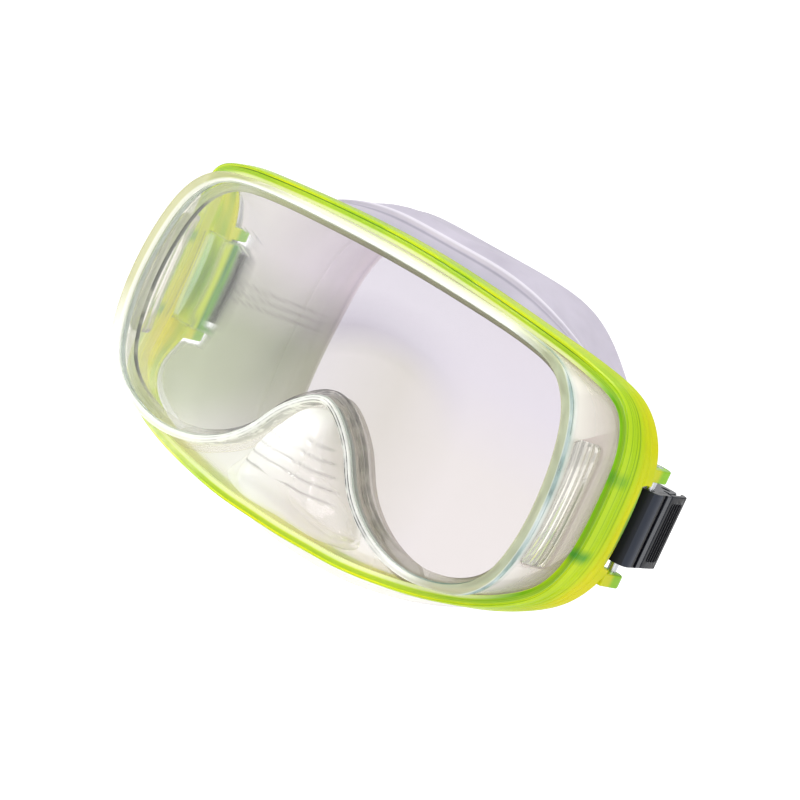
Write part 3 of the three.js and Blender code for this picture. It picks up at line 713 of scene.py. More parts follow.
def m_ring():
    m = Mat("ring_neon")
    x, y, z = m.xyz()[:3]
    ax = m.math("ABSOLUTE", x)
    t = m.attr("depth")
    d = m.attr("radial")
    flow = m.noise(22, 3)
    nrm = m.bump(m.noise(300, 3), 0.05, 0.00012)
    # colour runs from neon at the front to yellow at the rear
    col = m.ramp(m.math("ADD", t, m.math("MULTIPLY", m.math("SUBTRACT", flow, 0.5), 0.3)), [
        (0.0, lin(206, 224, 46)), (0.25, lin(190, 214, 14)), (0.6, lin(204, 214, 8)), (0.95, lin(214, 214, 22))])
    top = m.math("MULTIPLY", m.rng(z, 0, 1, 0.020, 0.032), m.rng(ax, 1, 0, 0.066, 0.080), True)
    front = m.rng(t, 1, 0, 0.12, 0.22)
    # moulded seam along the top of the front face, lime inside it
    lime = m.math("MULTIPLY", m.band(d, -2.4, -1.1, 0.25), front, True)
    col = m.mixc(m.math("MULTIPLY", lime, 0.7), col, lin(170, 206, 66))
    line = m.math("MULTIPLY", m.band(d, -1.22, -0.88, 0.09), front, True)
    col = m.mixc(m.math("MULTIPLY", m.math("MULTIPLY", line, top), 0.9), col, lin(52, 112, 20))
    inner = m.math("MULTIPLY", m.band(d, -4.6, -2.2, 0.3), m.rng(ax, 0, 1, 0.064, 0.080), True)
    col = m.mixc(m.math("MULTIPLY", inner, 0.9), col, lin(108, 178, 20))
    for c in (-1.9, -1.5, -0.5):
        hair = m.math("MULTIPLY", m.band(d, c - 0.10, c + 0.10, 0.07), m.math("MULTIPLY", front, m.rng(ax, 0, 1, 0.050, 0.066)), True)
        col = m.mixc(m.math("MULTIPLY", hair, 0.6), col, lin(84, 150, 22))
    for c in (0.13, 0.20, 0.29, 0.40):
        hair = m.math("MULTIPLY", m.band(t, c - 0.008, c + 0.008, 0.008), m.math("MULTIPLY", m.rng(ax, 0, 1, 0.060, 0.074), m.rng(z, 0.35, 1, -0.02, 0.02)), True)
        col = m.mixc(m.math("MULTIPLY", hair, 0.75), col, lin(76, 138, 12))
    # painted edge glow: brighter yellow on the outer side at the temples
    painted_edge_glow = m.math("MULTIPLY", m.rng(t, 0, 1, 0.40, 0.60), m.rng(ax, 0, 1, 0.078, 0.086), True)
    col = m.mixc(m.math("MULTIPLY", painted_edge_glow, 0.55), col, lin(226, 214, 6))
    # inner faces painted a lighter, mottled neon: painted light coming through the ring
    inn = m.attr("inside")
    col = m.mixc(m.math("MULTIPLY", inn, 0.85), col, m.ramp(m.noise(55, 2, stretch=(1, 1, 0.3)), [(0.35, lin(150, 200, 30)), (0.5, lin(222, 228, 36)), (0.65, lin(238, 226, 20))]))
    side = m.math("MULTIPLY", m.rng(ax, 0, 1, 0.076, 0.080), m.rng(t, 1, 0, 0.22, 0.36), True)
    blk = m.math("MAXIMUM", m.band(z, 0.0092, 0.0128, 0.0012), m.band(z, -0.0152, -0.0120, 0.0012))
    blk = m.math("MULTIPLY", m.math("MULTIPLY", blk, side), m.rng(m.noise(60, 2), 0.55, 1.0, 0.40, 0.55), True)
    col = m.mixc(m.math("MULTIPLY", blk, 0.75), col, lin(26, 150, 60))
    lug = m.rng(y, 0, 1, 0.0385, 0.0405)
    col = m.mixc(m.math("MULTIPLY", lug, 0.75), col, lin(120, 196, 40))
    fc = m.facing(0.45)
    rim = m.mixc(m.rng(fc, 0.0, 0.5, 0.45, 1.0), col, lin(150, 200, 24))
    # painted glow: the ring emits its own colour, more on its inner faces
    p = m.principled(rim, m.rng(m.noise(160, 4), 0.10, 0.2), nrm, Emission_Color=rim, Emission_Strength=m.math("ADD", 0.16, m.math("MULTIPLY", inn, 0.38)))
    tr = m.translucent(rim)
    s = m.mixs(0.40, p, tr)
    tintc = m.mixc(0.25, rim, (1, 1, 1, 1))
    g = m.glass(tintc, 0.04, 1.3)
    s = m.mixs(m.math("SUBTRACT", 0.26, m.math("MULTIPLY", inn, 0.22)), s, g)
    # the inner land of the front face is thin; along the top and bottom it and the lower left are painted pale, a
    # painted highlight with a painted glow
    pale = m.math("MULTIPLY", m.math("MULTIPLY", m.rng(d, 1, 0, -2.7, -2.2), m.rng(t, 1, 0, 0.25, 0.34)), m.rng(ax, 1, 0, 0.066, 0.080), True)
    film = m.mixs(0.5, m.principled(lin(244, 246, 212), 0.12, nrm, Emission_Color=lin(244, 246, 212), Emission_Strength=0.2), m.transparent(lin(246, 248, 214)))
    ll = m.math("MULTIPLY", m.rng(x, 1, 0, -0.056, -0.026), m.rng(z, 1, 0, -0.034, -0.018), True)
    pale = m.math("MAXIMUM", m.math("MULTIPLY", pale, 0.85), m.math("MULTIPLY", ll, m.rng(m.noise(90, 3), 0.35, 0.75, 0.35, 0.6)))
    s = m.mixs(pale, s, film)
    lp = m.n("ShaderNodeLightPath")
    return m.done(m.mixs(m.math("MULTIPLY", lp.outputs["Is Shadow Ray"], 0.6), s, m.transparent((0.86, 0.95, 0.25, 1))))


def m_skirt():
    m = Mat("skirt_silicone")
    x, y, z = m.xyz()[:3]
    n = m.noise(60, 4)
    nrm = m.bump(m.noise(70, 2), 0.03, 0.00010)
    milky = m.ramp(n, [(0.3, lin(184, 181, 192)), (0.7, lin(197, 194, 205))])
    clear = lin(238, 238, 232)
    # the moulding is clearer low down, round the nose, and inside the ring
    low = m.math("MULTIPLY", m.rng(z, 0, 1, -0.028, -0.044), m.rng(y, 1, 0, 0.030, 0.066), True)
    inring = m.attr("inring")
    behind = m.attr("behind")
    # neon light from the ring soaks into the neck and the lower side walls
    bleed = m.math("MULTIPLY", m.rng(z, 1, 0.0, -0.012, 0.014), m.rng(m.math("ABSOLUTE", x), 0, 1, 0.040, 0.066), True)
    col = m.mixc(m.math("MULTIPLY", bleed, 0.55), milky, lin(192, 200, 166))
    # painted shade: darker in the groove behind the ring
    col = m.mixc(m.math("MULTIPLY", behind, 0.62), col, lin(176, 178, 192))
    # painted highlight along the ridge
    col = m.mixc(m.math("MULTIPLY", m.attr("ridge_highlight"), 0.8), col, lin(236, 234, 242))
    col = m.mixc(m.math("MULTIPLY", m.attr("seam"), 0.55), col, lin(128, 128, 142))
    col = m.mixc(low, col, clear)
    inn = m.attr("inside")
    # inner faces painted lighter: painted light coming through the silicone
    warmin = m.mixc(bleed, lin(240, 233, 234), lin(186, 193, 164))
    col = m.mixc(m.math("MULTIPLY", inn, 0.8), col, warmin)
    # painted shade along the cross ribs inside
    col = m.mixc(m.math("MULTIPLY", m.attr("fold_shade"), 0.45), col, lin(150, 142, 140))
    notch = m.attr("notch")
    col = m.mixc(m.math("MULTIPLY", notch, 0.9), col, m.mixc(m.rng(y, 0, 1, 0.034, 0.036), lin(206, 220, 16), m.ramp(m.noise(150, 2, stretch=(1, 1, 0.15)), [(0.42, lin(60, 140, 16)), (0.58, lin(130, 196, 24))])))
    # painted glow: the silicone emits its own colour, more on its inner faces
    p = m.principled(col, m.rng(m.noise(60, 2), 0.28, 0.40), nrm, spec=0.4, Emission_Color=col, Emission_Strength=m.math("ADD", 0.14, m.math("MULTIPLY", inn, 0.34)))
    t = m.translucent(col, nrm)
    s = m.mixs(m.math("SUBTRACT", 0.5, m.math("MULTIPLY", inn, 0.2)), p, t)
    tr = m.math("ADD", 0.05, m.math("MULTIPLY", low, 0.50), True)
    fade = m.rng(m.facing(0.5), 1.0, 0.25)
    f = m.math("MAXIMUM", m.math("MULTIPLY", tr, fade), m.math("MULTIPLY", m.math("MULTIPLY", inring, 0.95), m.math("SUBTRACT", 1.0, m.math("MULTIPLY", notch, 0.8))))
    return m.done(m.mixs(f, s, m.transparent((0.975, 0.97, 0.98, 1))))


def m_nose():
    m = Mat("nose_silicone_clear")
    x, y, z = m.xyz()[:3]
    n = m.noise(80, 4)
    nrm = m.bump(n, 0.05, 0.0003)
    g = m.glass((0.985, 0.985, 0.98, 1), m.rng(n, 0.02, 0.08), 1.33, nrm)
    # painted light: near-white on the left, pinkish grey on the right
    col = m.mixc(m.rng(x, 0, 1, -0.012, 0.010), lin(246, 246, 244), lin(216, 208, 206))
    # painted shade darkens the finger grip creases
    cre = m.attr("crease")
    col = m.mixc(m.math("MULTIPLY", cre, 0.75), col, lin(96, 92, 94))
    # painted highlight on the upper left of the front
    nose_highlight = m.math("MULTIPLY", m.math("MULTIPLY", m.rng(x, 1, 0, -0.002, 0.006), m.rng(z, 0, 1, -0.034, -0.022)), m.rng(y, 1, 0, -0.002, 0.006), True)
    col = m.mixc(m.math("MULTIPLY", nose_highlight, m.math("SUBTRACT", 1.0, m.math("MULTIPLY", cre, 0.7))), col, (1, 1, 1, 1))
    # painted glow: the pocket emits its own colour, more in the painted highlight
    p = m.principled(col, 0.10, nrm, Emission_Color=col, Emission_Strength=m.math("ADD", 0.16, m.math("MULTIPLY", nose_highlight, 0.45)))
    t = m.translucent(col, nrm)
    milk = m.mixs(0.4, p, t)
    s = m.mixs(m.math("MAXIMUM", m.rng(m.facing(0.4), 0.42, 0.74), m.math("MULTIPLY", cre, 0.7)), g, milk)
    s = m.mixs(m.math("MULTIPLY", m.math("SUBTRACT", 1.0, cre), 0.26), s, m.transparent((0.98, 0.98, 0.97, 1)))
    return m.done(m.through(s, (0.95, 0.95, 0.94, 1)))


def m_black(name, base, lo, hi, spec=0.3, grain=700):
    m = Mat(name)
    g = m.noise(grain, 3)
    nrm = m.bump(g, 0.22, 0.0001)
    n = m.noise(90, 4)
    geo = m.n("ShaderNodeNewGeometry")
    wear = m.rng(geo.outputs["Pointiness"], 0, 1, 0.52, 0.60)
    col = m.mixc(m.math("MULTIPLY", wear, 0.35), m.mixc(n, base, tuple(c * 1.5 for c in base[:3]) + (1,)), lin(92, 96, 106))
    return m.done(m.principled(col, m.rng(n, lo, hi), nrm, spec=spec, IOR=1.3))


def m_steel():
    m = Mat("stainless_steel")
    n = m.noise(900, 3, stretch=(1, 1, 0.15))
    return m.done(m.principled(m.ramp(n, [(0.2, lin(170, 172, 176)), (0.8, lin(205, 207, 210))]), m.rng(n, 0.18, 0.36), m.bump(n, 0.2, 0.00008), metal=1.0))


M = dict(
    lens=m_lens(), edge=m_lens_edge(), clear=m_clear(), pane=m_pane(), gasket=m_gasket(), ring=m_ring(),
    skirt=m_skirt(), nose=m_nose(), steel=m_steel(),
    # painted sheen: the outer plate's lighter blue-grey
    plate=m_black("buckle_plate_sheen", lin(24, 28, 38), 0.30, 0.44, 0.25),
    black=m_black("buckle_black", lin(5, 5, 9), 0.14, 0.26, 0.2),
)


def paint(ob, key):
    ob.data.materials.clear()
    ob.data.materials.append(M[key])
    return ob


# ------------------------------------------------------------------ front lens
def lens():
    c = 0.35
    t = LENS_THICK  # ground bevel in front, small chamfer behind
    rows = [(2.4, 0.0), (3.42, 0.76), (LENS_MARGIN, 0.98), (LENS_MARGIN, t - c), (LENS_MARGIN - c * 0.3, t - c * 0.3), (LENS_MARGIN - c, t)]
    S = np.stack([wO(d, y) for d, y in rows], 0)  # (6, N, 3)
    k, n = S.shape[:2]
    v = S.reshape(-1, 3)
    f = []
    for a in range(k - 1):
        for i in range(n):
            j = (i + 1) % n
            f.append([a * n + i, a * n + j, (a + 1) * n + j, (a + 1) * n + i])
    f.append(list(range(n))[::-1])
    f.append(list(range((k - 1) * n, k * n)))
    ob = new_object("front_lens_glass", v, f)
    ob.data.materials.append(M["lens"])
    ob.data.materials.append(M["edge"])
    for p in ob.data.polygons:
        p.material_index = 0 if abs(p.normal.y) > 0.9 else 1
    finish_mesh(ob, 30)
    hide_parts("front_lens")
    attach(ob, "mask")
    return ob


def gasket():
    S = fillet([wO(0.4, 3.75), wO(1.1, 3.75), wO(1.3, 3.95), wO(2.2, 3.95), wO(2.4, 3.75), wO(3.3, 3.75), wO(3.3, 5.75), wO(0.4, 5.75)],
               [0.25, 0.1, 0.1, 0.1, 0.1, 0.3, 0.5, 0.5], 3)
    ob = loop_object("lens_gasket_bead", S)
    finish_mesh(ob, 50)
    attribute(ob, "offset", near(verts_mm(ob), W, nW)[1])
    paint(ob, "gasket")
    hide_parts("front_lens_gasket")
    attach(ob, "mask")


# ------------------------------------------------------------------ lens frame
NOSE_FROM = 10.6
_t = sstep(ROWI, NOSE_FROM - 0.6, NOSE_FROM + 0.6)[:, None]


def flange(d, dy):
    arch = wO(6.8 + d, 6.1 + dy)
    out = gO(-(RING_WALL + CLEAR) + d, YF + 2.1 + dy)
    return out + (arch - out) * _t


def neck(y_back):
    """Wall between the front rim and the ring: outer line pulled in to clear the ring's lip."""
    p = gO(-3.5 - CLEAR - 0.15, YF + y_back)
    q = wO(4.9, 4.0)
    return p + (q - p) * _t


def frame_body():
    outA, outB = wO(4.9, 2.6), flange(-1.8, -0.4)
    inA, inB = wO(3.9, 5.1), flange(-1.8 - FRAME_WALL, 1.8)
    # the rim's lip widens at the temples
    lip = (wO(1.0, 0) - wO(0.0, 0)) * (1.6 * sstep(np.abs(W[:, 0]), 58, 72))[:, None]
    corners = [
        wO(2.8, -1.2), wO(3.4, -1.5), wO(4.4, -1.5) + lip, wO(4.95, -0.8) + lip, wO(4.75, 0.4) + lip, wO(4.9, 1.3), wO(4.9, 2.6),
        outB, flange(0, 0), flange(0, 1.8), inB, inA, wO(3.9, -0.3), wO(2.8, -0.3),
    ]
    S = fillet(corners, [0.25, 0.3, 0.45, 0.4, 0.3, 0.3, 1.4, 0.5, 0.4, 0.5, 1.2, 1.6, 0.25, 0.2], 4)
    ob = loop_object("lens_frame_body", S)
    for s in (1, -1):
        y0, y1, z0, z1 = PANE[0], PANE[1], PANE[2], PANE[3]
        cut = prism("cut", rounded_rect(y0, y1, z0, z1, 2.6), 76 * s, 94 * s, 0, "x")
        boolean(ob, cut, "DIFFERENCE")
    finish_mesh(ob, 40)
    P = verts_mm(ob)
    i, d = near(P, W, nW)
    _, g = near(P, G, nG)
    attribute(ob, "offset", d)
    attribute(ob, "wall", sstep(P[:, 1], 3.0, 5.5))
    # mask of the painted neon glow on the frame near the ring
    attribute(ob, "outer", sstep(d, 3.2, 5.2) * (1 - 0.7 * sstep(np.abs(P[:, 0]), 60, 72)) * sstep(P[:, 2], -20, 10))
    paint(ob, "clear")
    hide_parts("lens_frame")
    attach(ob, "mask")
    # side panes sit a little below the wall's outer face
    for s, side in ((1, "right"), (-1, "left")):
        mid0, mid1 = outA + (inA - outA) * 0.38, outB + (inB - outB) * 0.38
        S2 = fillet([mid0, mid1, inB, inA], [0, 0, 0, 0])
        blank = loop_object("pane_" + side, S2)
        # raised grip lines near the pane's rear edge
        sel = [i for i in range(N) if s * W[i][0] > 70 and -22.0 < outA[i][2] < 19.6]
        sel.sort(key=lambda i: -outA[i][2])
        for yy in (12.4, 14.6):
            A, B = outA[sel], outB[sel]
            tt = ((yy - A[:, 1]) / (B[:, 1] - A[:, 1]))[:, None]
            c = A + (B - A) * tt - np.array([s * 0.62, 0, 0])
            k = 10
            ring = [c + np.array([s * 0.42 * math.cos(2 * math.pi * j / k), 0.42 * math.sin(2 * math.pi * j / k), 0]) for j in range(k)]
            boolean(blank, loft_object("rib", np.stack(ring, 1)), "UNION")
        g = 0.25
        tool = prism("tool", rounded_rect(PANE[0] + g, PANE[1] - g, PANE[2] + g, PANE[3] - g, 2.4), 76 * s, 94 * s, 0, "x")
        boolean(blank, tool, "INTERSECT")
        blank.name = "side_pane_" + side
        finish_mesh(blank, 34)
        paint(blank, "pane")
        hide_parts("side_lens_" + side)
        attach(blank, "mask")
    return ob


def rounded_rect(u0, u1, v0, v1, r, seg=6):
    pts = []
    for cx, cy, a0 in ((u1 - r, v1 - r, 0), (u0 + r, v1 - r, 90), (u0 + r, v0 + r, 180), (u1 - r, v0 + r, 270)):
        for k in range(seg + 1):
            a = math.radians(a0 + 90 * k / seg)
            pts.append((cx + r * math.cos(a), cy + r * math.sin(a)))
    return pts


# ------------------------------------------------------------------ clamp ring
def clamp_ring():
    y, w, f, r = YF, RWD, FL, RL
    sd = sstep(w, 9.5, 13.0)  # 0 along the top, 1 at the temples

    def band(t, depth):
        """Point on the outer band, t from front to rear, sunk by depth."""
        yy = y + 0.7 + (w - 1.5) * t
        return gO(f * t - depth, yy)

    corners = [
        gO(-3.5, y), gO(-1.5, y - 0.15), gO(-1.2, y + 0.3), gO(-0.75, y + 0.3), gO(-0.5, y - 0.1), gO(0, y + 0.7),
    ]
    rad = [0.3, 0.25, 0.15, 0.15, 0.25, 0.5]
    for tt in (0.2, 0.38, 0.56, 0.74):
        corners += [band(tt - 0.035, 0), band(tt - 0.015, 0.35 * sd), band(tt + 0.015, 0.35 * sd), band(tt + 0.035, 0)]
        rad += [0.2, 0.15, 0.15, 0.2]
    corners += [
        gO(f, y + w - 0.8), gO(f - 0.8, y + w), gO(f - r, y + w), gO(f - r, y + w - RING_WALL), gO(f - RING_WALL, y + w - RING_WALL),
        gO(-RING_WALL, y + RING_WALL), gO(-3.5, y + RING_WALL),
    ]
    rad += [0.5, 0.5, 0.5, 0.3, 0.6, 0.6, 0.3]
    ob = loop_object("clamp_ring_body", fillet(corners, rad, 2))
    for s in (1, -1):
        for z0, z1, root in ((14.75, 18.75, 35.0), (-18.75, -14.75, 34.8)):
            a, b = PIVOT[2] + z0, PIVOT[2] + z1
            poly = []
            R = 3.7
            px, py = PIVOT[0], PIVOT[1]
            poly.append((px - R, root))
            poly.append((px + R, root))
            for k in range(17):
                t = math.pi * k / 16
                poly.append((px + R * math.cos(t), py + R * math.sin(t)))
            if s < 0:
                poly = [(-u, v) for u, v in poly][::-1]
            lug = prism("lug", poly, a, b, 0.45, "z", 3)
            boolean(ob, lug, "UNION")
        cut = lathe_z("cut", [(0, -22), (PIN_R + 0.15, -22), (PIN_R + 0.15, 22), (0, 22)], 32, (s * PIVOT[0], PIVOT[1], PIVOT[2]))
        boolean(ob, cut, "DIFFERENCE")
        pts = rounded_rect(32.5, 46, PIVOT[2] - 13.6, PIVOT[2] + 13.6, 1.6)
        cut = prism("cut", pts, 87.2 * s, 97 * s, 0, "x")
        boolean(ob, cut, "DIFFERENCE")
    finish_mesh(ob, 38)
    P = verts_mm(ob)
    i, d = near(P, G, nG)
    attribute(ob, "depth", (P[:, 1] - y[i]) / w[i])
    attribute(ob, "radial", d)
    attribute(ob, "inside", facing_in(ob))
    paint(ob, "ring")
    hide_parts("clamp_ring")
    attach(ob, "mask")
    return ob


# ----------------------------------------------------------------------- skirt
def skirt():
    y, w, f, r = YF, RWD, FL, RL
    b = RING_WALL + CLEAR
    neck_d = f - r - CLEAR
    n0 = gO(neck_d, y + w + 0.8)
    n1 = gO(neck_d, y + w - b)
    mid = MID
    q = lambda a, c, t: a + (c - a) * t
    # cross ribs on the side walls, at the level of the strap
    side = sstep(np.abs(mid[:, 0]), 60, 68)[:, None]
    zz = mid[:, 2][:, None]
    rib = side * sum(np.exp(-((zz - c) / 0.55) ** 2) for c in (-3.6, -1.0, 1.6))
    corners = [
        gO(-b, y + 4.3), gO(f - b, y + w - b), gO(f - b - 0.4, y + w - b), gO(neck_d + 0.15, y + w - b), n0,
        q(n0, mid, 0.3) - nM * 0.2, q(n0, mid, 0.55), q(n0, mid, 0.635) + nM * 0.05, q(n0, mid, 0.665) + nM * 1.0, q(n0, mid, 0.72) + nM * 1.05, q(n0, mid, 0.77) + nM * 0.5,
        q(n0, mid, 0.9) + nM * 0.45, mid + nM * 0.3, q(mid, RIM, 0.5) + nM * 0.15, rO(0.0, -2.4), rO(-0.35, -0.4), rO(-1.6, 0.9),
        rO(-3.6, 1.4), rO(-6.2, 0.9), rO(-7.5, 0.2), rO(-7.4, -0.7), rO(-6.0, -0.5), rO(-4.2, -0.4), rO(-2.6, -1.4), rO(-2.0, -3.6),
        q(mid, RIM, 0.66) - nM * (1.85 + 0.5 * rib), q(mid, RIM, 0.60) - nM * (2.0 + 0.6 * rib), q(mid, RIM, 0.57) - nM * (2.65 + 0.6 * rib),
        q(mid, RIM, 0.54) - nM * (2.0 + 0.6 * rib), q(mid, RIM, 0.4) - nM * (1.85 + 0.6 * rib),
        mid - nM * (1.75 + 0.6 * rib), q(n0, mid, 0.5) - nM * (1.6 + 0.5 * rib), gO(neck_d - SKIRT_WALL, y + w + 0.4),
        gO(neck_d - SKIRT_WALL - 0.1, y + w - b), gO(-6.0 - 0.45 * (r - 3.8), y + 4.3), gO(-3.6, y + 4.3),
    ]
    C = np.stack(corners, 1)
    S = cr_closed(C, 3)
    ob = loop_object("skirt_moulding", S)
    for s in (1, -1):
        for z0, z1 in ((14.75, 18.75), (-18.75, -14.75)):
            cut = prism("cut", [(PIVOT[0] - 4.0, 34.4), (PIVOT[0] + 4.0, 34.4), (PIVOT[0] + 4.0, 43), (PIVOT[0] - 4.0, 43)] if s > 0 else
                        [(-PIVOT[0] - 4.0, 34.4), (-PIVOT[0] + 4.0, 34.4), (-PIVOT[0] + 4.0, 43), (-PIVOT[0] - 4.0, 43)],
                        PIVOT[2] + z0 - 0.3, PIVOT[2] + z1 + 0.3)
            boolean(ob, cut, "DIFFERENCE")
    finish_mesh(ob, 60, wn=False)
    P = verts_mm(ob)
    i, d = near(P, G, nG)
    back = P[:, 1] - y[i] - w[i]
    dz = np.abs(P[:, 2] - PIVOT[2])
    temple = sstep(np.abs(P[:, 0]), 62, 70)
    gap = temple * (1 - sstep(dz, 12.8, 13.8))
    lug = temple * sstep(dz, 13.8, 14.8) * (1 - sstep(dz, 18.6, 19.6))
    attribute(ob, "inring", 1 - sstep(back, -1.0 + 5.6 * gap + 5.2 * lug, 0.2 + 5.6 * gap + 5.2 * lug))
    ins = facing_in(ob, 0.10, 0.45)
    attribute(ob, "inside", ins)
    # mask of the painted shade along the cross ribs inside
    fold_shade = sum(np.exp(-((P[:, 2] - c) / 0.4) ** 2) for c in (-3.6, -1.0, 1.6))
    attribute(ob, "fold_shade", np.clip(fold_shade, 0, 1) * ins * sstep(np.abs(P[:, 0]), 60, 66) * sstep(P[:, 1], 38, 42))
    # mask of the painted shade in the groove behind the ring
    attribute(ob, "behind", (1 - sstep(back, 5.0, 10.0)) * sstep(P[:, 2], 5, 20))
    near_notch = (1 - sstep(np.abs(P[:, 2] - PIVOT[2]), 13.8, 15.0)) * sstep(P[:, 1], 30.8, 32.2) * (1 - sstep(P[:, 1], 38.4, 40.0))
    attribute(ob, "notch", near_notch * sstep(np.abs(P[:, 0]), 70, 74))
    # masks for the painted ridge highlight and the seam line
    for nm, curve, r in (("ridge_highlight", q(n0, mid, 0.69) + nM * 0.95, 0.55), ("seam", q(n0, mid, 0.60) + nM * 0.0, 0.45)):
        dense = (curve[:, None] + (np.roll(curve, -1, 0) - curve)[:, None] * np.linspace(0, 1, 4, endpoint=False)[None, :, None]).reshape(-1, 3)
        tree = kdtree.KDTree(len(dense))
        for k, c in enumerate(dense):
            tree.insert(c, k)
        tree.balance()
        dist = np.array([tree.find(c)[2] for c in P])
        attribute(ob, nm, (1 - sstep(dist, r * 0.5, r * 1.4)) * sstep(P[:, 2], 8, 20))
    paint(ob, "skirt")
    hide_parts("skirt")
    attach(ob, "mask")
    return ob


# levels: y, top z, half widths at 20/45/72 % of the height, bottom z, bottom half width
OUTER = [
    (8.25, -10.4, 8.6, 15.4, 23.2, -45.8, 26.0),
    (5.2, -10.6, 8.5, 14.8, 22.0, -45.6, 24.6),
    (2.0, -10.9, 8.4, 14.0, 20.0, -45.2, 23.0),
    (-1.6, -12.4, 8.6, 13.2, 16.8, -44.0, 18.4),
    (-4.6, -16.4, 9.4, 12.6, 14.6, -42.4, 15.2),
    (-7.2, -22.5, 9.8, 11.6, 12.6, -40.4, 12.6),
    (-8.9, -27.8, 8.6, 9.6, 10.0, -38.2, 9.8),
    (-9.5, -31.0, 5.2, 5.8, 6.0, -36.4, 5.8),
]


def dome_rings(levels, k, shrink=0.0, back=0.0):
    rings = []
    for y, zt, w1, w2, w3, zb, wb in levels:
        zt, zb = zt - shrink, zb + shrink
        w1, w2, w3, wb = (max(v - shrink, 0.8) for v in (w1, w2, w3, wb))
        h = zt - zb
        half = [(0, zt), (w1 * 0.62, zt - h * 0.045), (w1, zt - h * 0.2), (w2, zt - h * 0.45), (w3, zt - h * 0.72), (wb, zb + h * 0.1), (wb * 0.72, zb + h * 0.01), (0, zb)]
        pts = [np.array([p[0], y + back, p[1]]) for p in half] + [np.array([-p[0], y + back, p[1]]) for p in half[-2:0:-1]]
        rings.append(cr_closed(np.array(pts), k))
    R = np.array(rings)  # (levels, m, 3)
    # smooth between levels
    L = R.shape[0]
    out = []
    per = 7
    for i in range(L - 1):
        p0, p1, p2, p3 = R[max(i - 1, 0)], R[i], R[i + 1], R[min(i + 2, L - 1)]
        for j in range(per):
            t = j / per
            out.append(0.5 * ((2 * p1) + (-p0 + p2) * t + (2 * p0 - 5 * p1 + 4 * p2 - p3) * t * t + (-p0 + 3 * p1 - 3 * p2 + p3) * t ** 3))
    out.append(R[-1])
    return np.array(out)


def nose():
    """Clear nose pocket: a thin dome through the gap under the arch, open at the back, with a sealing web."""
    A = dome_rings(OUTER, 20)
    # finger grip creases across the front and flanks
    z = A[..., 2]
    yy = A[..., 1]
    cre = np.zeros_like(z)
    for zc in (-19.5, -23.0, -26.5, -30.0, -33.5):
        cre += np.exp(-((z - zc) / 0.38) ** 2)
    m = (1 - sstep(yy, -1.5, 3.0)) * (1 - sstep(-z, 35.0, 38.0))
    A[..., 1] += 0.42 * cre * m
    B = dome_rings(OUTER, 20, 1.7, 1.75)
    n, k = A.shape[:2]
    CR = (A.reshape(-1, 3).copy(), (np.clip(cre * m, 0, 1)).reshape(-1))
    v = np.vstack([A.reshape(-1, 3), B.reshape(-1, 3), A[-1].mean(0)[None] - [0, 0.25, 0], B[-1].mean(0)[None] - [0, 0.2, 0]])
    f = loop_faces(n, k, 0, False) + [q[::-1] for q in loop_faces(n, k, n * k, False)]
    ia, ib = 2 * n * k, 2 * n * k + 1
    for j in range(k):
        l = (j + 1) % k
        f.append([(n - 1) * k + j, (n - 1) * k + l, ia])
        f.append([n * k + (n - 1) * k + l, n * k + (n - 1) * k + j, ib])
        f.append([l, j, n * k + j, n * k + l])  # rear rim
    shell = new_object("nose_shell", v, f)
    # sealing web from the arch to the ring
    i0, i1 = int(round(10.2 * SUB)), int(round(2 * (NR - 1) * SUB - 10.2 * SUB))
    arch = wO(1.6, 0)[i0:i1 + 1]
    bot = gO(-2.2, 0)[i0:i1 + 1]
    poly = [(p[0], p[2]) for p in arch] + [(p[0], p[2]) for p in bot[::-1]]
    n2 = len(poly)
    ya, yb = 8.5, 10.6
    v2 = [(u, ya, w_) for u, w_ in poly] + [(u, yb, w_) for u, w_ in poly]
    f2 = [list(range(n2)), list(range(n2, 2 * n2))[::-1]] + [[i, (i + 1) % n2, n2 + (i + 1) % n2, n2 + i] for i in range(n2)]
    web = new_object("web", np.array(v2), f2)
    inner = dome_rings(OUTER, 20, 1.7, 1.75)
    core = np.concatenate([inner[:1] + np.array([0, 4.0, 0]), inner[:1] + np.array([0, 0.0, 0]), inner[1:2]], 0)
    plug = loft_object("plug", core)
    boolean(web, plug, "DIFFERENCE")
    # keep the web off the ring's rear lip
    yv = YF
    lip = loop_object("lip", np.stack([gO(-3.8 - CLEAR, yv + 9.0 - RING_WALL - CLEAR), gO(3, yv + 9.0 - RING_WALL - CLEAR), gO(3, yv + 12), gO(-3.8 - CLEAR, yv + 12)], 1))
    boolean(web, lip, "DIFFERENCE")
    boolean(shell, web, "UNION")
    shell.name = "nose_pocket"
    finish_mesh(shell, 46)
    P = verts_mm(shell)
    tree = kdtree.KDTree(len(CR[0]))
    for k, q in enumerate(CR[0]):
        tree.insert(q, k)
    tree.balance()
    val = np.zeros(len(P))
    for k, q in enumerate(P):
        _, hit, dist = tree.find(q)
        val[k] = CR[1][hit] if dist < 0.25 else 0.0
    attribute(shell, "crease", val)
    paint(shell, "nose")
    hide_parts("skirt")
    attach(shell, "mask")
    return shell


# --------------------------------------------------------------------- buckles
def arc(cx, cy, r, a0, a1, n):
    return [(cx + r * math.cos(math.radians(a0 + (a1 - a0) * i / n)), cy + r * math.sin(math.radians(a0 + (a1 - a0) * i / n))) for i in range(n + 1)]


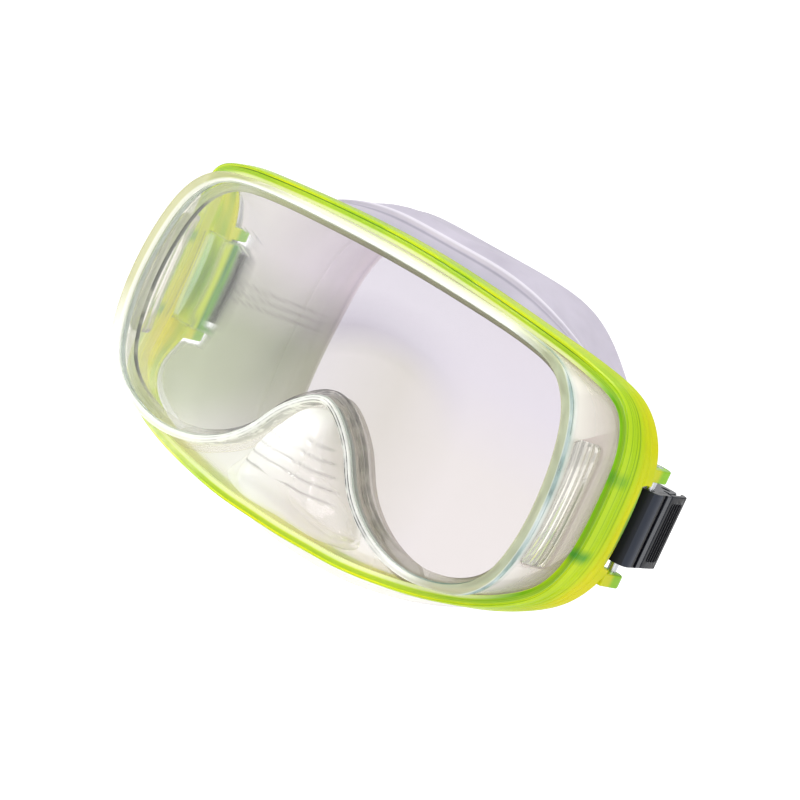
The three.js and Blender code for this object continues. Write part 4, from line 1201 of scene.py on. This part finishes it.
def buckle_parts():
    out = []
    # body: barrel and outer plate in one profile, x outward, y along the strap
    prof = [(2.0, 8.45), (2.0, 3.0)] + arc(0, 0, 3.3, 62, 270, 22) + [(1.6, -3.15), (3.0, -2.7), (3.9, -1.7), (4.25, -0.3), (4.38, 2.0), (4.38, 5.0), (4.25, 8.45)]
    body = prism("buckle_body", prof, -H, H, 0.42, "z", 3)
    floor = prism("floor", [(-6.0, 2.4), (-4.9, 2.0), (-4.9, 18.5), (-6.0, 18.1)], -H + 0.02, H - 0.02, 0.3, "z", 2)
    for s in (1, -1):
        z0, z1 = (H - 1.9, H - 0.03) if s > 0 else (-H + 0.03, -H + 1.9)
        cheek = prism("cheek", [(-5.7, 0.2), (-4.2, -2.0), (-1.2, -2.6), (2.1, -1.0), (2.15, 12.4), (1.5, 17.6), (0.9, 18.7), (-0.4, 19.1), (-5.0, 19.1), (-5.8, 18.2)], z0, z1, 0.35, "z", 2)
        boolean(body, cheek, "UNION")
    boolean(body, floor, "UNION")
    step = prism("step", [(3.92, 1.5), (6.0, 1.5), (6.0, 5.1), (3.92, 5.1)], -H - 1, H + 1, 0, "z")
    boolean(body, step, "DIFFERENCE")
    for z in (0,):
        for (bx, ay, r) in ((0, 0, PIN_R + 0.3), (LEV["b"], LEV["a"], LEV["r"] + 0.12), (ROL["b"], ROL["a"], ROL["t"] + 0.28)):
            hole = lathe_z("hole", [(0, -H - 2), (r, -H - 2), (r, H + 2), (0, H + 2)], 32, (bx, ay, 0))
            boolean(body, hole, "DIFFERENCE")
    finish_mesh(body, 38)
    out.append((body, "buckle_body", "black", "buckle_black"))
    # lever: pad with rolled rear edge, sunk field with four ribs
    pad = [(2.7, 9.0), (4.15, 9.0), (4.3, 12.0), (4.3, 17.0), (4.15, 18.7)] + arc(2.35, 19.1, 1.85, 5, 92, 8)[0:] + [(1.75, 20.9), (1.75, 20.0), (2.2, 19.6), (2.7, 18.6)]
    lev = prism("release_lever", pad, -H, H, 0.4, "z", 3)
    sink = prism("sink", rounded_rect(10.5, 18.3, -H + 2.3, H - 2.3, 0.8, 4), 3.55, 6.0, 0, "x")
    boolean(lev, sink, "DIFFERENCE")
    for i in range(4):
        a0 = 11.15 + i * 1.78
        rib = prism("rib", [(3.3, a0), (4.1, a0 + 0.05), (4.35, a0 + 0.3), (4.35, a0 + 0.65), (4.1, a0 + 0.9), (3.3, a0 + 0.95)], -H + 2.0, H - 2.0, 0.1, "z", 1)
        boolean(lev, rib, "UNION")
    for s in (1, -1):
        z0, z1 = (7.4, 9.2) if s > 0 else (-9.2, -7.4)
        ear = prism("ear", [(3.2, LEV["a"] - 1.0), (3.2, LEV["a"] + 2.4), (2.2, LEV["a"] + 1.8)] + arc(LEV["b"], LEV["a"], 1.6, 60, 300, 14), z0, z1, 0.15, "z", 1)
        boolean(lev, ear, "UNION")
    hole = lathe_z("hole", [(0, -H - 2), (LEV["r"] + 0.28, -H - 2), (LEV["r"] + 0.28, H + 2), (0, H + 2)], 24, (LEV["b"], LEV["a"], 0))
    boolean(lev, hole, "DIFFERENCE")
    finish_mesh(lev, 38)
    out.append((lev, "release_lever", "black", "buckle_black"))
    # roller: ribbed barrel with trunnions
    z, t = H - 2.25, H - 0.5
    nrib = 9
    prof = [(0, -t), (ROL["t"] - 0.15, -t), (ROL["t"], -t + 0.15), (ROL["t"], -z), (ROL["r"] - 0.2, -z), (ROL["r"], -z + 0.2)]
    wv = (2 * z - 1.2) / nrib
    for i in range(nrib):
        a = -z + 0.6 + i * wv
        prof += [(ROL["r"], a), (ROL["r"] - 0.35, a + 0.25 * wv), (ROL["r"] - 0.35, a + 0.6 * wv), (ROL["r"], a + 0.85 * wv)]
    prof += [(ROL["r"], z - 0.2), (ROL["r"] - 0.2, z), (ROL["t"], z), (ROL["t"], t - 0.15), (ROL["t"] - 0.15, t), (0, t)]
    rol = lathe_z("strap_roller", prof, 48, (ROL["b"], ROL["a"], 0))
    finish_mesh(rol, 30)
    out.append((rol, "strap_roller", "black", "buckle_black"))
    # pins
    p = lathe_z("pivot_pin", [(0, -18.9), (PIN_R - 0.35, -18.9), (PIN_R, -18.55), (PIN_R, 18.4), (PIN_R - 0.15, 18.75), (PIN_R - 0.5, 18.9), (0.5, 18.9), (0.4, 18.6), (0, 18.6)], 40)
    finish_mesh(p, 30)
    out.append((p, "pivot_pin", "steel", "steel"))
    r = LEV["r"]
    p = lathe_z("lever_pin", [(0, -H + 0.4), (r - 0.2, -H + 0.4), (r, -H + 0.6), (r, H - 0.6), (r - 0.2, H - 0.4), (0, H - 0.4)], 32, (LEV["b"], LEV["a"], 0))
    finish_mesh(p, 30)
    out.append((p, "lever_pin", "steel", "steel"))
    # spring: round wire along a helix
    turns, n = 3, 150
    pts = [(LEV["b"] + 0.9, LEV["a"] + 3.4, -2.2), (LEV["b"] + 1.22, LEV["a"] + 1.4, -2.1)]
    for i in range(n + 1):
        a = 0.1 - turns * 2 * math.pi * i / n
        pts.append((LEV["b"] + 1.30 * math.cos(a), LEV["a"] + 1.30 * math.sin(a), -1.9 + 3.8 * i / n))
    P = np.array(pts)
    T = np.gradient(P, axis=0)
    T /= np.linalg.norm(T, axis=1)[:, None]
    up = np.array([0, 0, 1.0])
    A = np.cross(T, up)
    A /= np.linalg.norm(A, axis=1)[:, None]
    B = np.cross(T, A)
    k = 10
    S = np.stack([P + 0.26 * (A * math.cos(2 * math.pi * j / k) + B * math.sin(2 * math.pi * j / k)) for j in range(k)], 1)
    sp = loft_object("lever_spring", S)
    finish_mesh(sp, 50, wn=False)
    out.append((sp, "lever_spring", "steel", "steel"))
    return out


def buckles():
    parts = buckle_parts()
    body_for = {"buckle_body": "buckle_", "release_lever": "lever_", "strap_roller": "roller_", "pivot_pin": None, "lever_pin": "buckle_", "lever_spring": "buckle_"}
    for ob, name, key, slot in parts:
        for s, side in ((1, "right"), (-1, "left")):
            o = bpy.data.objects.new("%s_part_%s" % (name, side), ob.data.copy())
            COLL.objects.link(o)
            rot = Matrix.Rotation(s * LEAN, 4, "Z")
            mir = Matrix.Diagonal((s, 1, 1, 1))
            o.data.transform(Matrix.Translation((s * PIVOT[0] / 1000, PIVOT[1] / 1000, PIVOT[2] / 1000)) @ rot @ mir)
            if s < 0:
                o.data.flip_normals()
            for md in ob.modifiers:
                m2 = o.modifiers.new(md.name, md.type)
                m2.keep_sharp = True
                m2.weight = 60
            paint(o, key)
            if name == "buckle_body":
                # painted sheen: outward faces of the plate take the lighter blue-grey material
                o.data.materials.append(M["plate"])
                c, sn = math.cos(LEAN), math.sin(LEAN)
                for p in o.data.polygons:
                    n = p.normal
                    out_n = s * n.x * c + n.y * sn
                    rx, ry = s * p.center.x * 1000 - PIVOT[0], p.center.y * 1000 - PIVOT[1]
                    if out_n > 0.6 and rx * c + ry * sn > 3.0 and ry * c - rx * sn < 1.6:
                        p.material_index = 1
            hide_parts("%s_%s" % (name, side))
            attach(o, "mask" if body_for[name] is None else body_for[name] + side)
        md = ob.data
        bpy.data.objects.remove(ob)
        bpy.data.meshes.remove(md)


lens()
gasket()
frame_body()
clamp_ring()
skirt()
nose()
buckles()

# ---------------------------------------------------------------- stage, light
def stage():
    bm = bmesh.new()
    bmesh.ops.create_circle(bm, cap_ends=True, segments=96, radius=12.0)
    me = bpy.data.meshes.new("floor")
    bm.to_mesh(me)
    bm.free()
    fl = bpy.data.objects.new("floor", me)
    COLL.objects.link(fl)
    fl.location = (0, 0, -0.0755)
    m = Mat("floor_pale")
    d = m.n("ShaderNodeBsdfDiffuse")
    d.inputs["Color"].default_value = (0.45, 0.45, 0.45, 1)
    e = m.n("ShaderNodeEmission")
    e.inputs["Color"].default_value = (1, 1, 1, 1)
    e.inputs["Strength"].default_value = 0.72
    ad = m.n("ShaderNodeAddShader")
    m.l(d.outputs[0], ad.inputs[0])
    m.l(e.outputs[0], ad.inputs[1])
    me.materials.append(m.done(ad.outputs[0]))

    w = bpy.data.worlds.new("studio")
    bpy.context.scene.world = w
    w.use_nodes = True
    t = w.node_tree
    t.nodes.clear()
    out = t.nodes.new("ShaderNodeOutputWorld")
    lp = t.nodes.new("ShaderNodeLightPath")
    bgc = t.nodes.new("ShaderNodeBackground")
    bgc.inputs["Color"].default_value = (1, 1, 1, 1)
    bgc.inputs["Strength"].default_value = 1.0
    bgl = t.nodes.new("ShaderNodeBackground")
    tc = t.nodes.new("ShaderNodeTexCoord")
    sp = t.nodes.new("ShaderNodeSeparateXYZ")
    t.links.new(tc.outputs["Generated"], sp.inputs[0])
    ramp = t.nodes.new("ShaderNodeValToRGB")
    cr = ramp.color_ramp
    cr.elements[0].position = 0.0
    cr.elements[0].color = (0.62, 0.62, 0.64, 1)
    cr.elements[1].position = 1.0
    cr.elements[1].color = (1.0, 1.0, 1.0, 1)
    for p, c in ((0.47, 0.84), (0.52, 0.70), (0.58, 0.92), (0.75, 1.0)):
        e2 = cr.elements.new(p)
        e2.color = (c, c, c * 1.01, 1)
    mr = t.nodes.new("ShaderNodeMapRange")
    mr.inputs["From Min"].default_value = -1
    mr.inputs["From Max"].default_value = 1
    t.links.new(sp.outputs["Z"], mr.inputs["Value"])
    t.links.new(mr.outputs["Result"], ramp.inputs["Fac"])
    t.links.new(ramp.outputs["Color"], bgl.inputs["Color"])
    bgl.inputs["Strength"].default_value = 0.92
    mx = t.nodes.new("ShaderNodeMixShader")
    t.links.new(lp.outputs["Is Camera Ray"], mx.inputs[0])
    t.links.new(bgl.outputs[0], mx.inputs[1])
    t.links.new(bgc.outputs[0], mx.inputs[2])
    t.links.new(mx.outputs[0], out.inputs["Surface"])

    def area(name, loc, target, size, power):
        ld = bpy.data.lights.new(name, "AREA")
        ld.shape = "RECTANGLE"
        ld.size, ld.size_y = size
        ld.energy = power
        o = bpy.data.objects.new(name, ld)
        COLL.objects.link(o)
        o.location = loc
        o.rotation_mode = "QUATERNION"
        o.rotation_quaternion = (Vector(target) - Vector(loc)).to_track_quat("-Z", "Y")
        o.visible_camera = False
        return o

    area("key", (-0.55, -0.75, 0.95), (0, 0.03, 0), (0.55, 0.35), 6.5)
    area("top", (0.25, 0.35, 1.05), (0, 0.03, 0), (0.8, 0.5), 4.5)
    area("rim", (0.95, -0.35, 0.25), (0.05, 0.03, 0), (0.25, 0.6), 2.2)

    # dark cards out of sight, which give clear plastic its thin dark lines
    cm = Mat("card_grey")
    cm.done(cm.principled(cm.ramp(cm.noise(3), [(0.3, (0.02, 0.02, 0.02)), (0.7, (0.05, 0.05, 0.05))]), 0.8))
    for nm, loc, wd, ht, yaw in (("card_a", (0.18, 0.75, 0.12), 0.05, 0.5, 20), ("card_b", (-0.85, 0.42, 0.12), 0.05, 0.5, 70),
                                 ("card_c", (-0.62, -0.42, 0.14), 0.06, 0.6, -50), ("card_d", (0.9, 0.35, 0.14), 0.05, 0.5, -70)):
        bm = bmesh.new()
        vs = [bm.verts.new((a * wd / 2, 0, c * ht / 2)) for a, c in ((-1, -1), (1, -1), (1, 1), (-1, 1))]
        bm.faces.new(vs)
        me = bpy.data.meshes.new(nm)
        bm.to_mesh(me)
        bm.free()
        o = bpy.data.objects.new(nm, me)
        COLL.objects.link(o)
        o.location = loc
        o.rotation_euler = (0, 0, math.radians(yaw))
        me.materials.append(cm.m)
        o.visible_camera = o.visible_diffuse = o.visible_shadow = False


stage()


def camera():
    az, el, roll = (math.radians(v) for v in (34.0, 8.38, 24.75))
    dist, px = 1646.8, 3.44
    R = Vector((math.cos(az), math.sin(az), 0))
    d = Vector((math.sin(az) * math.cos(el), -math.cos(az) * math.cos(el), math.sin(el)))
    U = Vector((-math.sin(az) * math.sin(el), math.cos(az) * math.sin(el), math.cos(el)))
    xr = R * math.cos(roll) + U * math.sin(roll)
    yu = -R * math.sin(roll) + U * math.cos(roll)
    tgt = xr * ((400 - 337.9) / px) + yu * (-(400 - 376.4) / px)
    pos = (tgt + d * dist) * 0.001
    cd = bpy.data.cameras.new("camera")
    cd.sensor_width = 36
    cd.lens = px * dist * 36 / 800
    cd.clip_start, cd.clip_end = 0.05, 50
    cam = bpy.data.objects.new("camera", cd)
    COLL.objects.link(cam)
    cam.matrix_world = Matrix((
        (xr.x, yu.x, d.x, pos.x), (xr.y, yu.y, d.y, pos.y), (xr.z, yu.z, d.z, pos.z), (0, 0, 0, 1)))
    bpy.context.scene.camera = cam


camera()
sc = bpy.context.scene
sc.view_settings.view_transform = "Standard"
sc.view_settings.look = "None"
sc.cycles.max_bounces = 20
sc.cycles.transparent_max_bounces = 24
sc.cycles.transmission_bounces = 14
sc.cycles.diffuse_bounces = 4
sc.cycles.glossy_bounces = 4
sc.cycles.caustics_refractive = False
sc.cycles.caustics_reflective = False
sc.cycles.use_denoising = True
